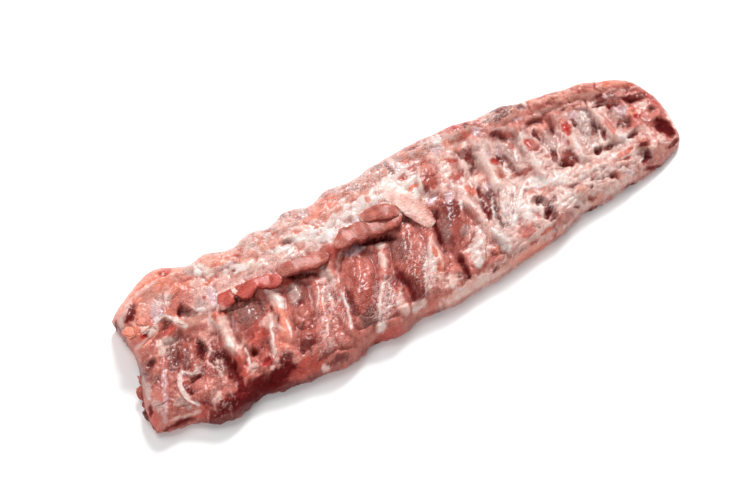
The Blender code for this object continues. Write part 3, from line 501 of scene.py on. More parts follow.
# Streaky tissue laid over the patches
TOP_STREAKS = (
    ("pink", (-200, -30), 44, 20, 80, 66, 0.16, 1.2), ("fat", (-97, -32), 32, 8, 62, 60, 0.42, 1.3),
    ("fat", (-56, -48), 26, 8, 56, 56, 0.42, 1.3), ("white", (-44, -44), 20, 8, 70, 64, 0.38, 1.2),
    ("white", (-8, -40), 28, 6, 62, 60, 0.44, 1.1), ("pink", (-10, -22), 30, 12, 62, 62, 0.16, 1.0),
    ("white", (37, -42), 22, 9, 52, 52, 0.46, 1.2), ("white", (80, -24), 26, 11, 58, 58, 0.40, 1.2),
    ("pink", (-110, 56), 60, 10, -4, -14, 0.46, 2.0), ("fat", (40, 60), 60, 8, 0, 84, 0.36, 1.4),
    ("pink", (120, 60), 34, 8, -10, 60, 0.30, 1.4), ("fat", (-83, -26), 30, 6, 74, 74, 0.36, 1.2),
    ("white", (58, -46), 18, 10, 80, 72, 0.36, 1.3), ("white", (122, 14), 26, 7, 84, 84, 0.26, 1.4),
    ("white", (178, 10), 24, 10, 72, 60, 0.24, 1.2), ("white", (140, -34), 60, 14, 4, 24, 0.22, 1.8),
    ("pink", (-60, 60), 80, 9, -2, 70, 0.40, 1.6), ("pink", (20, 66), 80, 8, 0, 76, 0.36, 1.5),
)
# The tissue below all paint, and the layers over it: fields, the streaks that follow them, and the reach
# at which a field starts to thin out and the reach at which it ends
GROUND_TISSUE = "rose"
PAINT_LAYERS = ((BROAD_FIELDS, STREAK_FIELDS, 0.58, 1.24), (PATCHES, TOP_STREAKS, 0.66, 1.16))

# Strength of the fine grain on each tissue: wetness, white flecks that are partly painted glints, and fibre
FINISHES = {
    "deep": (0.0, 0.0, 0.3), "maroon": (0.05, 0.0, 0.5), "blood": (0.8, 0.0, 0.2),
    "red": (0.7, 0.1, 0.6), "dark": (0.7, 0.12, 0.9), "lean": (0.8, 0.3, 1.0), "rose": (0.8, 0.24, 0.9),
    "mauve": (1.0, 0.3, 0.8), "brown": (0.6, 0.05, 0.8), "strip": (0.5, 0.05, 0.9),
    "tan": (0.6, 0.0, 0.25), "orange": (0.7, 0.0, 0.25), "salmon": (0.6, 0.0, 0.2),
    "pink": (0.7, 0.15, 0.4), "fat": (0.7, 0.15, 0.4), "white": (0.9, 0.4, 0.4),
    "lilac": (1.0, 0.15, 0.3), "grey": (1.0, 0.45, 0.5), "cream": (0.7, 0.2, 0.4),
}
TISSUE_NAMES = tuple(FINISHES)

# Turn of the fibres from +X in degrees, how strongly lines and streaks cover, and the tissues whose streaks
# bring white flecks, partly painted glints, with them
FIBRE_TURN = 64.0
LINE_STRENGTH = 0.7
STREAK_STRENGTH = 0.6
PALE_TISSUES = ("white", "fat", "pink")

# The most that a painted colour reflects, and the brightness at which paint leaves the skin level
BRIGHTEST = 0.96
LEVEL_BRIGHTNESS = 0.6

# Painted shade in the folds, painted shade for each millimetre that a place lies below its surroundings,
# the least and most of that shade (below nought it is painted light on raised places), and the cells each
# way that count as surroundings
FOLD_SHADE = 0.4
CAVITY_SHADE = 0.55
CAVITY_LIMITS = (-0.25, 0.6)
CAVITY_REACH = 4

# Tints between which noise varies flesh, the colour of its flecks, which are partly painted glints, and the
# most that it reflects
DARK_TINT = (0.85, 0.76, 0.735, 1.0)
LIGHT_TINT = (1.14, 1.30, 1.34, 1.0)
FLECK_AND_GLINT_COLOUR = (0.88, 0.71, 0.68, 1.0)
PALEST_FLESH = (0.94, 0.775, 0.735)

# Meshes of what is carried along a path: rows along it, sides of its section, neighbours that its path is
# evened over, and the power that the section's sine and cosine are raised to. A strand also has a lift and
# a half thickness as a share of its half width.
STRIP_MESH = {"rows": 110, "sides": 56, "reach": 10, "flatness": 0.6}
TONGUE_MESH = {"rows": 80, "sides": 36, "reach": 6, "flatness": 0.8}
STRAND_MESH = {"rows": 48, "sides": 12, "reach": 1, "flatness": 1.0}
STRAND_LIFT = -0.15
STRAND_THICKNESS = 0.4
LUMP_SIDES = 40

# Shares of the way to an edge between which the surrounding paint takes over, those between which a strip's
# near edge is darkened with painted shade, and how far it is
STRIP_BLEND = (0.76, 1.14)
TONGUE_BLEND = (0.3, 1.0)
NEAR_EDGE = (0.6, 1.0)
NEAR_SHADE = 0.6

# Which way the flat side of a strip faces
STRIP_UP = (-0.02, 0.04, 1.0)
# Skirt strips: tissue, lift of the middle, and path with half width and half thickness at each point
SKIRT_STRIPS = (
    (
        "red", 0.6,
        (
            (-164, 9, 3.6, 1.2), (-156, 17.5, 7.4, 1.8), (-148, 21, 4.4, 1.3), (-139, 15, 7.6, 2.0),
            (-129, 20, 5.0, 1.6), (-119, 12, 7.8, 1.9), (-107, 16, 5.0, 1.2),
        ),
    ),
    (
        "strip", 0.7,
        (
            (-111, 15, 5, 1.6), (-101, 17, 7.4, 2.2), (-88, 15, 8, 2.3), (-77, 11, 6.4, 2.0),
            (-66, 13, 4, 1.1),
        ),
    ),
    (
        "strip", 1.0,
        (
            (-61, 13, 4.4, 1.4), (-51, 18, 8.5, 2.6), (-37, 18.5, 9.4, 2.6), (-20, 15, 9.4, 2.9),
            (-4, 15, 7.5, 2.5), (2, 20, 5, 2.0),
        ),
    ),
    ("strip", 1.2, ((-30, 28, 5, 1.2), (-18, 27, 7, 2.0), (-8, 24, 8, 2.4), (2, 15, 5.5, 2.2))),
)
# The tongue of fat, with the same columns as a strip
FAT_TONGUE = (
    "pink", 0.4,
    (
        (2, 50, 8, 0.8), (7, 37, 9.5, 1.2), (11, 23, 9.5, 1.5), (14, 8, 8.5, 1.7), (16, -2, 7.5, 1.6),
        (17, -9, 6, 1.3),
    ),
)
# Fat nodules: tissue, middle and three half sizes
NODULES = (
    ("salmon", (-230, 29), (6.6, 5.6, 1.9)), ("pink", (-222, 26), (5.0, 3.8, 1.7)),
    ("salmon", (-219.5, 33), (3.6, 4.8, 1.6)), ("pink", (-146.5, 20), (3.2, 4.6, 2.2)),
)
# Strands of membrane that stand proud: tissue, half width and path
STRANDS = (
    ("pink", 1.3, ((-210, 27), (-202, 29), (-198, 21), (-192, 12))),
    ("cream", 1.2, ((-217, -22), (-223, -33), (-223, -46), (-219, -53))),
    ("cream", 1.0, ((-215, -21), (-210, -28), (-203, -30))),
    ("salmon", 1.0, ((-231, 12), (-224, 14), (-214, 18))),
)
# Torn shreds of lean at the broad end: tissue, mark on the sheet, height and three half sizes
SHREDS = (
    ("lean", (-249, -24), 8.0, (3.2, 6.0, 3.4)), ("dark", (-252, -43), 8.0, (4.2, 7.5, 4.6)),
    ("dark", (-253, -52), 7.0, (3.0, 5.0, 3.2)), ("lean", (-251, -33), 9.0, (2.4, 3.6, 2.4)),
    ("brown", (-244, -13), 8.0, (2.2, 4.6, 2.4)),
)

# Soft lights: name, the way that each comes from, its spread in degrees and the setting that has its power
LIGHTS = (
    ("back_light", (0.80, 0.85, 1.05), 20.0, "key_power"),
    ("top_light", (-0.15, 0.45, 1.4), 36.0, "top_power"),
    ("fill_light", (-0.9, -0.7, 0.9), 44.0, "fill_power"),
)


def tissue_colour(name, description, red, green, blue):
    """A colour setting in screen values, given as the usual 0 to 255."""
    return bpy.props.FloatVectorProperty(
        name=name, description=description, subtype="COLOR_GAMMA", size=3, min=0.0, max=1.0,
        default=(red / 255.0, green / 255.0, blue / 255.0),
    )


def length(name, description, millimetres):
    """A length setting in metres."""
    return bpy.props.FloatProperty(
        name=name, description=description, default=millimetres * MM, min=0.0, unit="LENGTH", precision=5
    )


def plain_number(name, description, value):
    """A plain number setting, which is a power, a strength or a lens."""
    return bpy.props.FloatProperty(name=name, description=description, default=value, min=0.0)


class RIBS_PG_tissues(bpy.types.PropertyGroup):
    """Colour of each tissue that the rack is painted with."""

    # Deep shadow is painted shade for the bottoms of hollows and the gaps under the strips.
    deep: tissue_colour("Deep shadow", "Blood-dark bottom of a hollow", 98, 6, 8)
    # Maroon is dark red tissue and also painted shade on the walls of hollows, under the strips and at
    # their near edges.
    maroon: tissue_colour("Maroon", "Wall of a hollow", 112, 14, 14)
    blood: tissue_colour("Blood", "Fresh blood spot", 194, 46, 44)
    red: tissue_colour("Red", "Raw torn lean", 196, 84, 71)
    dark: tissue_colour("Dark lean", "Dried dark muscle", 124, 42, 35)
    lean: tissue_colour("Lean", "Muscle between the ribs", 174, 80, 68)
    rose: tissue_colour("Rose lean", "Pale muscle", 204, 114, 101)
    mauve: tissue_colour("Mauve", "Muscle under grey membrane", 145, 84, 75)
    brown: tissue_colour("Brown", "Pale brown muscle", 194, 110, 97)
    strip: tissue_colour("Strip", "Brown muscle of the skirt strips", 187, 104, 90)
    tan: tissue_colour("Tan", "Smooth muscle at the backbone", 224, 153, 137)
    orange: tissue_colour("Orange", "Blood-stained fat", 222, 120, 100)
    salmon: tissue_colour("Salmon", "Salmon-coloured fat", 238, 144, 123)
    pink: tissue_colour("Pink fat", "Pink fat", 242, 188, 176)
    fat: tissue_colour("Fat", "Pale fat", 252, 219, 210)
    white: tissue_colour("White", "Wet white membrane", 253, 234, 228)
    lilac: tissue_colour("Lilac", "Cartilage under membrane", 216, 175, 177)
    grey: tissue_colour("Grey", "Thin grey membrane", 198, 151, 142)
    cream: tissue_colour("Cream", "Cream-coloured membrane and fat", 234, 190, 179)


class RIBS_PG_sizes(bpy.types.PropertyGroup):
    """Sizes of the fine form."""

    cell: length("Cell", "Mesh cell along the rack", 0.98)
    paint_rise: length("Tissue rise", "How far pale tissue stands above dark tissue", 1.8)
    lump_rise: length("Lumps", "Height of the soft lumps", 0.65)
    grain_rise: length("Grain", "Height of the fine wet grain", 0.35)
    fold_depth: length("Folds", "Depth of the winding folds", 1.0)
    fibre_rise: length("Fibre", "Height of the muscle fibres", 0.25)
    wall_rise: length("Wall lumps", "How far the sides swell in and out", 1.5)


class RIBS_PG_stage(bpy.types.PropertyGroup):
    """The studio round the rack."""

    floor_colour: tissue_colour("Floor", "Pale floor", 250, 250, 250)
    key_power: plain_number("Back light", "Soft light from behind", 3.6)
    top_power: plain_number("Top light", "Soft light from above", 1.05)
    fill_power: plain_number("Fill light", "Soft light from in front", 1.2)
    sky: plain_number("Surroundings", "Even light from all round", 0.2)
    lens: plain_number("Lens", "Focal length in millimetres", 92.0)


# Curves and noise

def smooth(at, stations, values):
    """Values given at the stations, joined by a cubic curve and read at every place in at."""
    stations = np.asarray(stations, float)
    values = np.asarray(values, float)
    slopes = np.gradient(values, stations, axis=0)
    low = np.clip(np.searchsorted(stations, at, side="right") - 1, 0, len(stations) - 2)
    gap = stations[low + 1] - stations[low]
    share = np.clip((at - stations[low]) / gap, 0.0, 1.0)

    def taken(table, row):
        if table.ndim == 1:
            return table[row]
        return np.take_along_axis(table, row[None], axis=0)[0]

    rise = share**2 * (3.0 - 2.0 * share)
    start = share * (1.0 - share) ** 2 * gap * taken(slopes, low)
    end = share**2 * (1.0 - share) * gap * taken(slopes, low + 1)
    return taken(values, low) * (1.0 - rise) + taken(values, low + 1) * rise + start - end


def eased(value, low, high):
    """0 below low and 1 above high, with an eased step between."""
    share = np.clip((value - low) / (high - low), 0.0, 1.0)
    return share**2 * (3.0 - 2.0 * share)


def swell(x, y, size, seed):
    """Random heights from -1 to 1 on a square lattice of the given size, joined by eased steps."""
    table = np.random.default_rng(seed).uniform(-1.0, 1.0, (LATTICE, LATTICE))
    column, row = np.floor(x / size).astype(int), np.floor(y / size).astype(int)
    across, up = x / size - column, y / size - row
    across = across**2 * (3.0 - 2.0 * across)
    up = up**2 * (3.0 - 2.0 * up)
    left, right = column % LATTICE, (column + 1) % LATTICE
    lower, upper = row % LATTICE, (row + 1) % LATTICE
    near = table[left, lower] * (1.0 - across) + table[right, lower] * across
    far = table[left, upper] * (1.0 - across) + table[right, upper] * across
    return near * (1.0 - up) + far * up


def turned(x, y, degrees):
    """The same places on axes turned by so many degrees: along the turn, and across it."""
    angle = math.radians(degrees)
    return x * math.cos(angle) + y * math.sin(angle), y * math.cos(angle) - x * math.sin(angle)


def cloud(x, y, size, seed, octaves=3):
    """Swells of halving size and height, each turned by a third of a right angle from the last."""
    total = np.zeros_like(x)
    for octave in range(octaves):
        along, across = turned(x, y, 30.0 * octave)
        total = total + swell(along, across, size / 2**octave, seed + octave) / 2**octave
    return total


def sheet(x, y, z):
    """Where the camera sees a place on the level sheet at SHEET_HEIGHT: on the line from EYE through it."""
    share = (EYE[2] - SHEET_HEIGHT) / (EYE[2] - z)
    return EYE[0] + (x - EYE[0]) * share, EYE[1] + (y - EYE[1]) * share


# Form of the rack

def side(points, along):
    """X and Y on one side of the outline, for shares of its length from 0 to 1."""
    points = np.array(points, float)
    steps = np.hypot(*np.diff(points, axis=0).T)
    shares = np.concatenate([[0.0], np.cumsum(steps)]) / steps.sum()
    return np.stack([smooth(along, shares, points[:, axis]) for axis in (0, 1)])


def crowded(share, amount):
    """Shares from 0 to 1 drawn closer together towards both ends."""
    return share - amount * np.sin(2.0 * math.pi * share) / (2.0 * math.pi)


def plan(u, v):
    """X and Y of the upper side, stretched between the four sides of the outline."""
    lean = COLUMN_LEAN * np.sin(math.pi * u)
    front = side(FRONT_EDGE, u - lean)
    back = side(BACK_EDGE, u + lean)
    broad = side(BROAD_END, v)
    narrow = side(NARROW_END, v)
    ends = (FRONT_EDGE[0], FRONT_EDGE[-1], BACK_EDGE[0], BACK_EDGE[-1])
    corner = [np.array(point, float)[:, None] for point in ends]
    between_ends = (1.0 - u) * broad + u * narrow
    between_sides = (1.0 - v) * front + v * back
    corners = (1.0 - u) * (1.0 - v) * corner[0] + u * (1.0 - v) * corner[1]
    corners = corners + (1.0 - u) * v * corner[2] + u * v * corner[3]
    return between_ends + between_sides - corners


def oval_reach(x, y, middle, half_length, half_width, turn):
    """0 in the middle of a turned oval, 1 at its edge and more outside it."""
    along, across = turned(x - middle[0], y - middle[1], turn)
    return np.hypot(along / half_length, across / half_width)


def line_distance(x, y, path):
    """Distance in the plan to a path of straight pieces."""
    nearest = np.full_like(x, np.inf)
    for (ax, ay), (bx, by) in zip(path, path[1:]):
        run = (bx - ax) ** 2 + (by - ay) ** 2
        share = np.clip(((x - ax) * (bx - ax) + (y - ay) * (by - ay)) / run, 0.0, 1.0)
        nearest = np.minimum(nearest, np.hypot(x - ax - share * (bx - ax), y - ay - share * (by - ay)))
    return nearest


def shoulder(inward, radius):
    """0 at the rim and 1 from radius inward, round like a quarter of a circle."""
    short = np.clip(1.0 - inward / radius, 0.0, 1.0)
    return np.sqrt(1.0 - short**2)


def relief(x, y):
    """Rise of the ripples, lumps, lobes, hollows, strip beds and ribs at places on the sheet."""
    waves = [np.sin(x / along + y / across + start) for along, across, start in RIPPLES]
    rise = RIPPLE_RISE * sum(waves)
    x, y = x + 1.5 * cloud(x, y, 10.0, 111, 2), y + 1.5 * cloud(x, y, 10.0, 112, 2)
    for middle, half_length, half_width, turn, height in (*BACKBONE_LUMPS, *FAT_LUMPS, *HOLLOWS):
        reach = oval_reach(x, y, middle, half_length, half_width, turn)
        rise = rise + height * np.clip(1.0 - reach**2, 0.0, 1.0) ** 1.5
    for middle, half_length, half_width, turn, height in MUSCLE_LOBES:
        reach = oval_reach(x, y, middle, half_length, half_width, turn)
        past = (reach - 1.0) * half_width
        rise = rise + LOBE_SWELL * height * np.clip(1.0 - reach**2, 0.0, 1.0)
        rise = rise - CREASE_DEPTH * np.exp(-((past / CREASE_WIDTH) ** 2))
    for path, half_width, height in STRIP_BEDS:
        rise = rise + height * np.clip(1.0 - (line_distance(x, y, path) / half_width) ** 2, 0.0, 1.0)
    for upper, lower, half_width, height in RIBS:
        share = np.clip(1.0 - (line_distance(x, y, (upper, lower)) / half_width) ** 2, 0.0, 1.0)
        rise = rise + RIB_SWELL * height * share**2
    return rise


def heights(x, y, u, v):
    """Height of the upper side: sections along X, relief as the camera sees it, and rounded rims.

    The relief is read twice, because where the camera sees a place depends on how high it stands.
    """
    stations = [row[0] for row in SECTION_HEIGHTS]
    columns = zip(*(row[1] for row in SECTION_HEIGHTS))
    across = np.array([smooth(x, stations, column) for column in columns])
    base = smooth(v, WIDTH_SHARES, across)
    width = np.hypot(*(plan(u, np.ones_like(v)) - plan(u, np.zeros_like(v))))
    span = np.hypot(*(plan(np.ones_like(u), v) - plan(np.zeros_like(u), v)))
    full = shoulder(v * width, FRONT_SHOULDER) * shoulder((1.0 - v) * width, BACK_SHOULDER)
    full = full * shoulder(u * span, BROAD_SHOULDER) * shoulder((1.0 - u) * span, NARROW_SHOULDER)
    rim = RIM_SHARE + (1.0 - RIM_SHARE) * full
    rise = relief(*sheet(x, y, base * rim))
    rise = relief(*sheet(x, y, (base + FIRST_SHARE * rise) * rim))
    return (base + rise) * rim


def crumbs(x, y):
    """Rise of round crumbs with creases between them, in the crumbly zones."""
    bent_x = x + 1.2 * swell(x, y, 5.0, 121)
    bent_y = y + 1.2 * swell(x, y, 5.0, 122)
    ball = np.abs(cloud(bent_x, bent_y, 9.0, 123, 2)) ** 0.8 - 0.35
    rise = np.zeros_like(x)
    for middle, half_length, half_width, turn, height in CRUMBLY_ZONES:
        reach = oval_reach(x, y, middle, half_length, half_width, turn)
        rise = np.maximum(rise, height * (1.0 - eased(reach, 0.6, 1.2)))
    return rise * ball


# Paint

def linear(colour):
    """Screen colour values turned into the linear values that shaders use."""
    colour = np.array(colour, float)
    return np.where(colour <= 0.04045, colour / 12.92, ((colour + 0.055) / 1.055) ** 2.4)


def palette():
    """Each tissue's linear colour followed by its wetness, flecks and fibre."""
    tissues = bpy.context.scene.ribs_tissues
    return {name: np.concatenate([linear(getattr(tissues, name)), FINISHES[name]]) for name in TISSUE_NAMES}


def painted(x, y):
    """Colour, wetness, flecks and fibre at places on the sheet: the layers in order, then the lines.

    A field covers by an eased step at its edge, which a cloud of noise bends so that no edge is regular.
    """
    tones = palette()
    bent_x = x + 1.4 * cloud(x, y, 9.0, 11) + 0.7 * cloud(x, y, 2.8, 17, 2)
    bent_y = y + 1.4 * cloud(x, y, 9.0, 21) + 0.7 * cloud(x, y, 2.8, 27, 2)
    along, across = turned(x, y, FIBRE_TURN)
    tear = 0.16 * cloud(along / 4.0, across, 1.6, 31, 2) + 0.12 * cloud(x, y, 5.0, 37, 2)
    body = np.clip(0.95 + 0.2 * cloud(x, y, 4.0, 43, 2), 0.7, 1.0)
    coat = np.zeros((len(x), 6)) + tones[GROUND_TISSUE]
    for fields, streaks, thinning, end in PAINT_LAYERS:
        for tissue, middle, half_length, half_width, turn in fields:
            reach = oval_reach(bent_x, bent_y, middle, half_length, half_width, turn)
            cover = (1.0 - eased(reach + tear, thinning, end)) * body
            coat = coat + (tones[tissue] - coat) * cover[:, None]
        coat = streaked(coat, tones, bent_x, bent_y, streaks)
    for tissue, half_width, path in LINES:
        distance = line_distance(bent_x * 0.7 + x * 0.3, bent_y * 0.7 + y * 0.3, path)
        cover = LINE_STRENGTH * (1.0 - eased(distance / half_width + 2.0 * tear, 0.3, 1.4))
        coat = coat + (tones[tissue] - coat) * cover[:, None]
    return coat


def streaked(coat, tones, x, y, fields):
    """The coat with fibres of other tissue in its streak fields.

    A fibre shows where noise drawn out along the fibres is above a level that its share sets. A field of
    pale tissue has more white flecks as well, which are partly painted glints.
    """
    for number, (tissue, middle, half_length, half_width, turn, *fibres) in enumerate(fields):
        fibre_turn, share, breadth = fibres
        reach = oval_reach(x, y, middle, half_length, half_width, turn)
        along, across = turned(x, y, fibre_turn)
        threads = cloud(along / 3.0, across, breadth, 301 + number, 2)
        field = 1.0 - eased(reach, 0.55, 1.2)
        cover = field * eased(threads, 0.5 - share, 1.1 - share)
        strength = (STREAK_STRENGTH * cover)[:, None]
        coat[:, :4] = coat[:, :4] + (tones[tissue][:4] - coat[:, :4]) * strength
        if tissue in PALE_TISSUES:
            coat[:, 4] = coat[:, 4] + (1.0 - coat[:, 4]) * np.clip(1.5 * share * field, 0.0, 0.8)
    return coat


def mottled(coat, x, y, turn):
    """The coat with marbling along the fibres, blotches and a slight change of redness."""
    along, across = turned(x, y, turn)
    streaks = cloud(along / 7.0, across, 1.5, 41, 2) * coat[:, 5]
    blotches = cloud(x, y, 6.0, 47)
    fine = swell(x, y, 1.3, 53)
    light = 1.0 + 0.12 * streaks + (0.04 + 0.08 * coat[:, 4]) * blotches + 0.05 * fine
    redness = 1.0 + 0.05 * cloud(x, y, 11.0, 59, 2)
    coat = coat.copy()
    coat[:, :3] = np.clip(coat[:, :3] * light[:, None], 0.0, BRIGHTEST)
    coat[:, 1:3] = np.clip(coat[:, 1:3] / redness[:, None], 0.0, BRIGHTEST)
    return coat


def folds(x, y):
    """Thin winding folds: 1 along the lines where a bent cloud of noise is nought, falling off steeply."""
    bent_x = x + 2.2 * swell(x, y, 7.0, 91)
    bent_y = y + 2.2 * swell(x, y, 7.0, 92)
    level = np.abs(cloud(bent_x, bent_y, 11.0, 93, 2))
    return (1.0 - eased(level, 0.0, 0.22)) * eased(cloud(x, y, 14.0, 97, 2), -0.35, 0.35)


def shaded(coat, amount):
    """The coat with painted shade, darker and redder by an amount from 0 to 1, or with painted light,
    paler, where it is below 0.
    """
    coat = coat.copy()
    coat[:, 0] = np.clip(coat[:, 0] * (1.0 - 0.42 * amount), 0.0, BRIGHTEST)
    coat[:, 1:3] = np.clip(coat[:, 1:3] * (1.0 - 0.66 * amount)[:, None], 0.0, BRIGHTEST)
    return coat


def cavities(top, long_cells, cross_cells):
    """How far each point of the upper side lies below the mean of its surroundings, in millimetres."""
    grid = top[:, 2].reshape(long_cells + 1, cross_cells + 1)
    for axis in (0, 1):
        grid = np.apply_along_axis(evened, axis, grid, CAVITY_REACH)
    return grid.ravel() - top[:, 2]


def raggedness(coat):
    """How strongly folds and crumbs show: little on smooth tissue, which has little fibre."""
    return 0.35 + 0.65 * eased(coat[:, 5], 0.22, 0.38)


def brightness(coat):
    """How pale the coat is, as the square root of its green, which tells fat from lean best."""
    return np.sqrt(np.clip(coat[:, 1], 0.0, 1.0))


# Meshes

def placed(points):
    """Plan millimetres turned into metres in the frame."""
    points = np.asarray(points, float).copy()
    points[:, 0] -= MIDDLE[0]
    points[:, 1] -= MIDDLE[1]
    return points * MM


def new_piece(name, points, faces, coat, material):
    """A smooth-shaded mesh object with its coat stored on the points, riding on the rack's body."""
    mesh = bpy.data.meshes.new(name)
    mesh.from_pydata(placed(points).tolist(), [], faces)
    colour = mesh.attributes.new("tissue", "FLOAT_COLOR", "POINT")
    colour.data.foreach_set("color", np.column_stack([coat[:, :3], np.ones(len(coat))]).ravel())
    finish = mesh.attributes.new("finish", "FLOAT_COLOR", "POINT")
    finish.data.foreach_set("color", np.column_stack([coat[:, 3:], np.ones(len(coat))]).ravel())
    mesh.materials.append(material)
    mesh.shade_smooth()
    mesh.update()
    piece = bpy.data.objects.new(name, mesh)
    bpy.context.scene.collection.objects.link(piece)
    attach(piece, "root")
    return piece


def ring_of(long_cells, cross_cells):
    """Point numbers round the rim of the grid, anticlockwise from above."""
    grid = np.arange((long_cells + 1) * (cross_cells + 1)).reshape(long_cells + 1, cross_cells + 1)
    return np.concatenate([grid[:-1, 0], grid[-1, :-1], grid[:0:-1, -1], grid[0, :0:-1]])


def grid_faces(rows, columns, closed):
    """Four-sided faces of a grid of points, whose columns join up to a ring when closed."""
    grid = np.arange(rows * columns).reshape(rows, columns)
    if closed:
        grid = np.concatenate([grid, grid[:, :1]], axis=1)
    corners = (grid[:-1, :-1], grid[1:, :-1], grid[1:, 1:], grid[:-1, 1:])
    return np.stack([corner.ravel() for corner in corners], axis=1)


def wall_points(rim, outward):
    """Rows below the rim, drawn in along a quarter of an ellipse down to the flat underside."""
    wall_rise = bpy.context.scene.ribs_sizes.wall_rise / MM
    arc = np.concatenate([[0.0], np.cumsum(np.hypot(*np.diff(rim[:, :2], axis=0).T))])
    half = np.abs(rim[:, :2] - np.array(MIDDLE)).max(axis=0)
    rows = []
    for row in range(1, WALL_ROWS + 1):
        angle = math.pi / 2.0 * row / WALL_ROWS
        shrink = 1.0 - UNDERCUT * (1.0 - math.cos(angle)) / half
        place = (rim[:, :2] - MIDDLE) * shrink + MIDDLE
        height = rim[:, 2] * (1.0 - math.sin(angle))
        bulge = wall_rise * cloud(arc, height * 1.5, 7.0, 61) * math.sin(2.0 * angle)
        rows.append(np.column_stack([place + outward * bulge[:, None], height]))
    return np.concatenate(rows)


def grid_shares(long_cells, cross_cells):
    """Shares of the length and of the width at each point of the upper side's grid."""
    u = crowded(np.linspace(0.0, 1.0, long_cells + 1), END_CROWDING)
    v = crowded(np.linspace(0.0, 1.0, cross_cells + 1), SIDE_CROWDING)
    return [share.ravel() for share in np.meshgrid(u, v, indexing="ij")]


def rack_points():
    """All points of the rack's skin, and how many cells its grid has each way."""
    cell = bpy.context.scene.ribs_sizes.cell / MM
    long_cells, cross_cells = (round(span / cell) for span in GRID_SPANS)
    u, v = grid_shares(long_cells, cross_cells)
    x, y = plan(u, v)
    top = np.column_stack([x, y, heights(x, y, u, v)])
    rim = top[ring_of(long_cells, cross_cells)]
    return np.concatenate([top, wall_points(rim, outward_of(rim))]), long_cells, cross_cells


def outward_of(rim):
    """Level unit arrows that point out of the rack at each point of its rim."""
    tangent = np.roll(rim, -1, axis=0)[:, :2] - np.roll(rim, 1, axis=0)[:, :2]
    outward = np.column_stack([tangent[:, 1], -tangent[:, 0]])
    return outward / np.linalg.norm(outward, axis=1)[:, None]


def paint_marks(points, long_cells, cross_cells):
    """Where on the sheet each point of the skin takes its paint from.

    That is where the camera sees it. What faces away from the camera at the back and at the narrow end
    is unrolled outward instead, as otherwise it would repeat the edge in stretched streaks.
    """
    mark_x, mark_y = sheet(points[:, 0], points[:, 1], points[:, 2])
    u, v = grid_shares(long_cells, cross_cells)
    count = len(u)
    fall = 1.0 - shoulder((1.0 - v) * UNROLLED_WIDTH, BACK_SHOULDER)
    mark_y[:count] += np.clip(BACK_FALL * fall - HIDDEN_FROM, 0.0, None)
    fall = 1.0 - shoulder((1.0 - u) * UNROLLED_LENGTH, NARROW_SHOULDER)
    mark_x[:count] += np.clip(NARROW_FALL * fall - HIDDEN_FROM, 0.0, None)
    ring = ring_of(long_cells, cross_cells)
    outward = outward_of(points[ring])
    facing = outward @ np.array(TO_EYE[:2]) / math.hypot(*TO_EYE[:2])
    away = np.tile(1.0 - eased(facing, -0.25, 0.1), WALL_ROWS)
    drop = np.tile(points[ring, 2], WALL_ROWS) - points[count:, 2]
    for axis, mark in enumerate((mark_x, mark_y)):
        unrolled = np.tile(mark[ring], WALL_ROWS) + np.tile(outward[:, axis], WALL_ROWS) * drop
        mark[count:] += away * (unrolled - mark[count:])
    return mark_x, mark_y


def rack_faces(long_cells, cross_cells):
    """Faces of the upper side, of the walls and, last, the one underside."""
    count = (long_cells + 1) * (cross_cells + 1)
    top = grid_faces(long_cells + 1, cross_cells + 1, False)
    ring = ring_of(long_cells, cross_cells)
    rows = [ring] + [count + len(ring) * row + np.arange(len(ring)) for row in range(WALL_ROWS)]
    rings = np.array(rows)
    after = np.roll(rings, -1, axis=1)
    corners = (rings[:-1], rings[1:], after[1:], after[:-1])
    walls = np.stack([corner.ravel() for corner in corners], axis=1)
    return top.tolist() + walls.tolist() + [rings[-1][::-1].tolist()]


def fine_rise(points, coat, sheet_x, sheet_y):
    """Rise of pale tissue over dark, soft lumps, fibres and wet grain."""
    sizes = bpy.context.scene.ribs_sizes
    along, across = turned(sheet_x, sheet_y, FIBRE_TURN)
    rise = sizes.paint_rise / MM * (brightness(coat) - LEVEL_BRIGHTNESS)
    rise = rise + sizes.lump_rise / MM * cloud(sheet_x, sheet_y, 6.5, 71)
    rise = rise + sizes.fibre_rise / MM * coat[:, 5] * cloud(along / 6.0, across, 2.4, 77, 2)
    rise = rise + sizes.grain_rise / MM * swell(sheet_x, sheet_y, 1.7, 83)
    broken = crumbs(sheet_x, sheet_y) - sizes.fold_depth / MM * folds(sheet_x, sheet_y)
    return rise + broken * raggedness(coat)


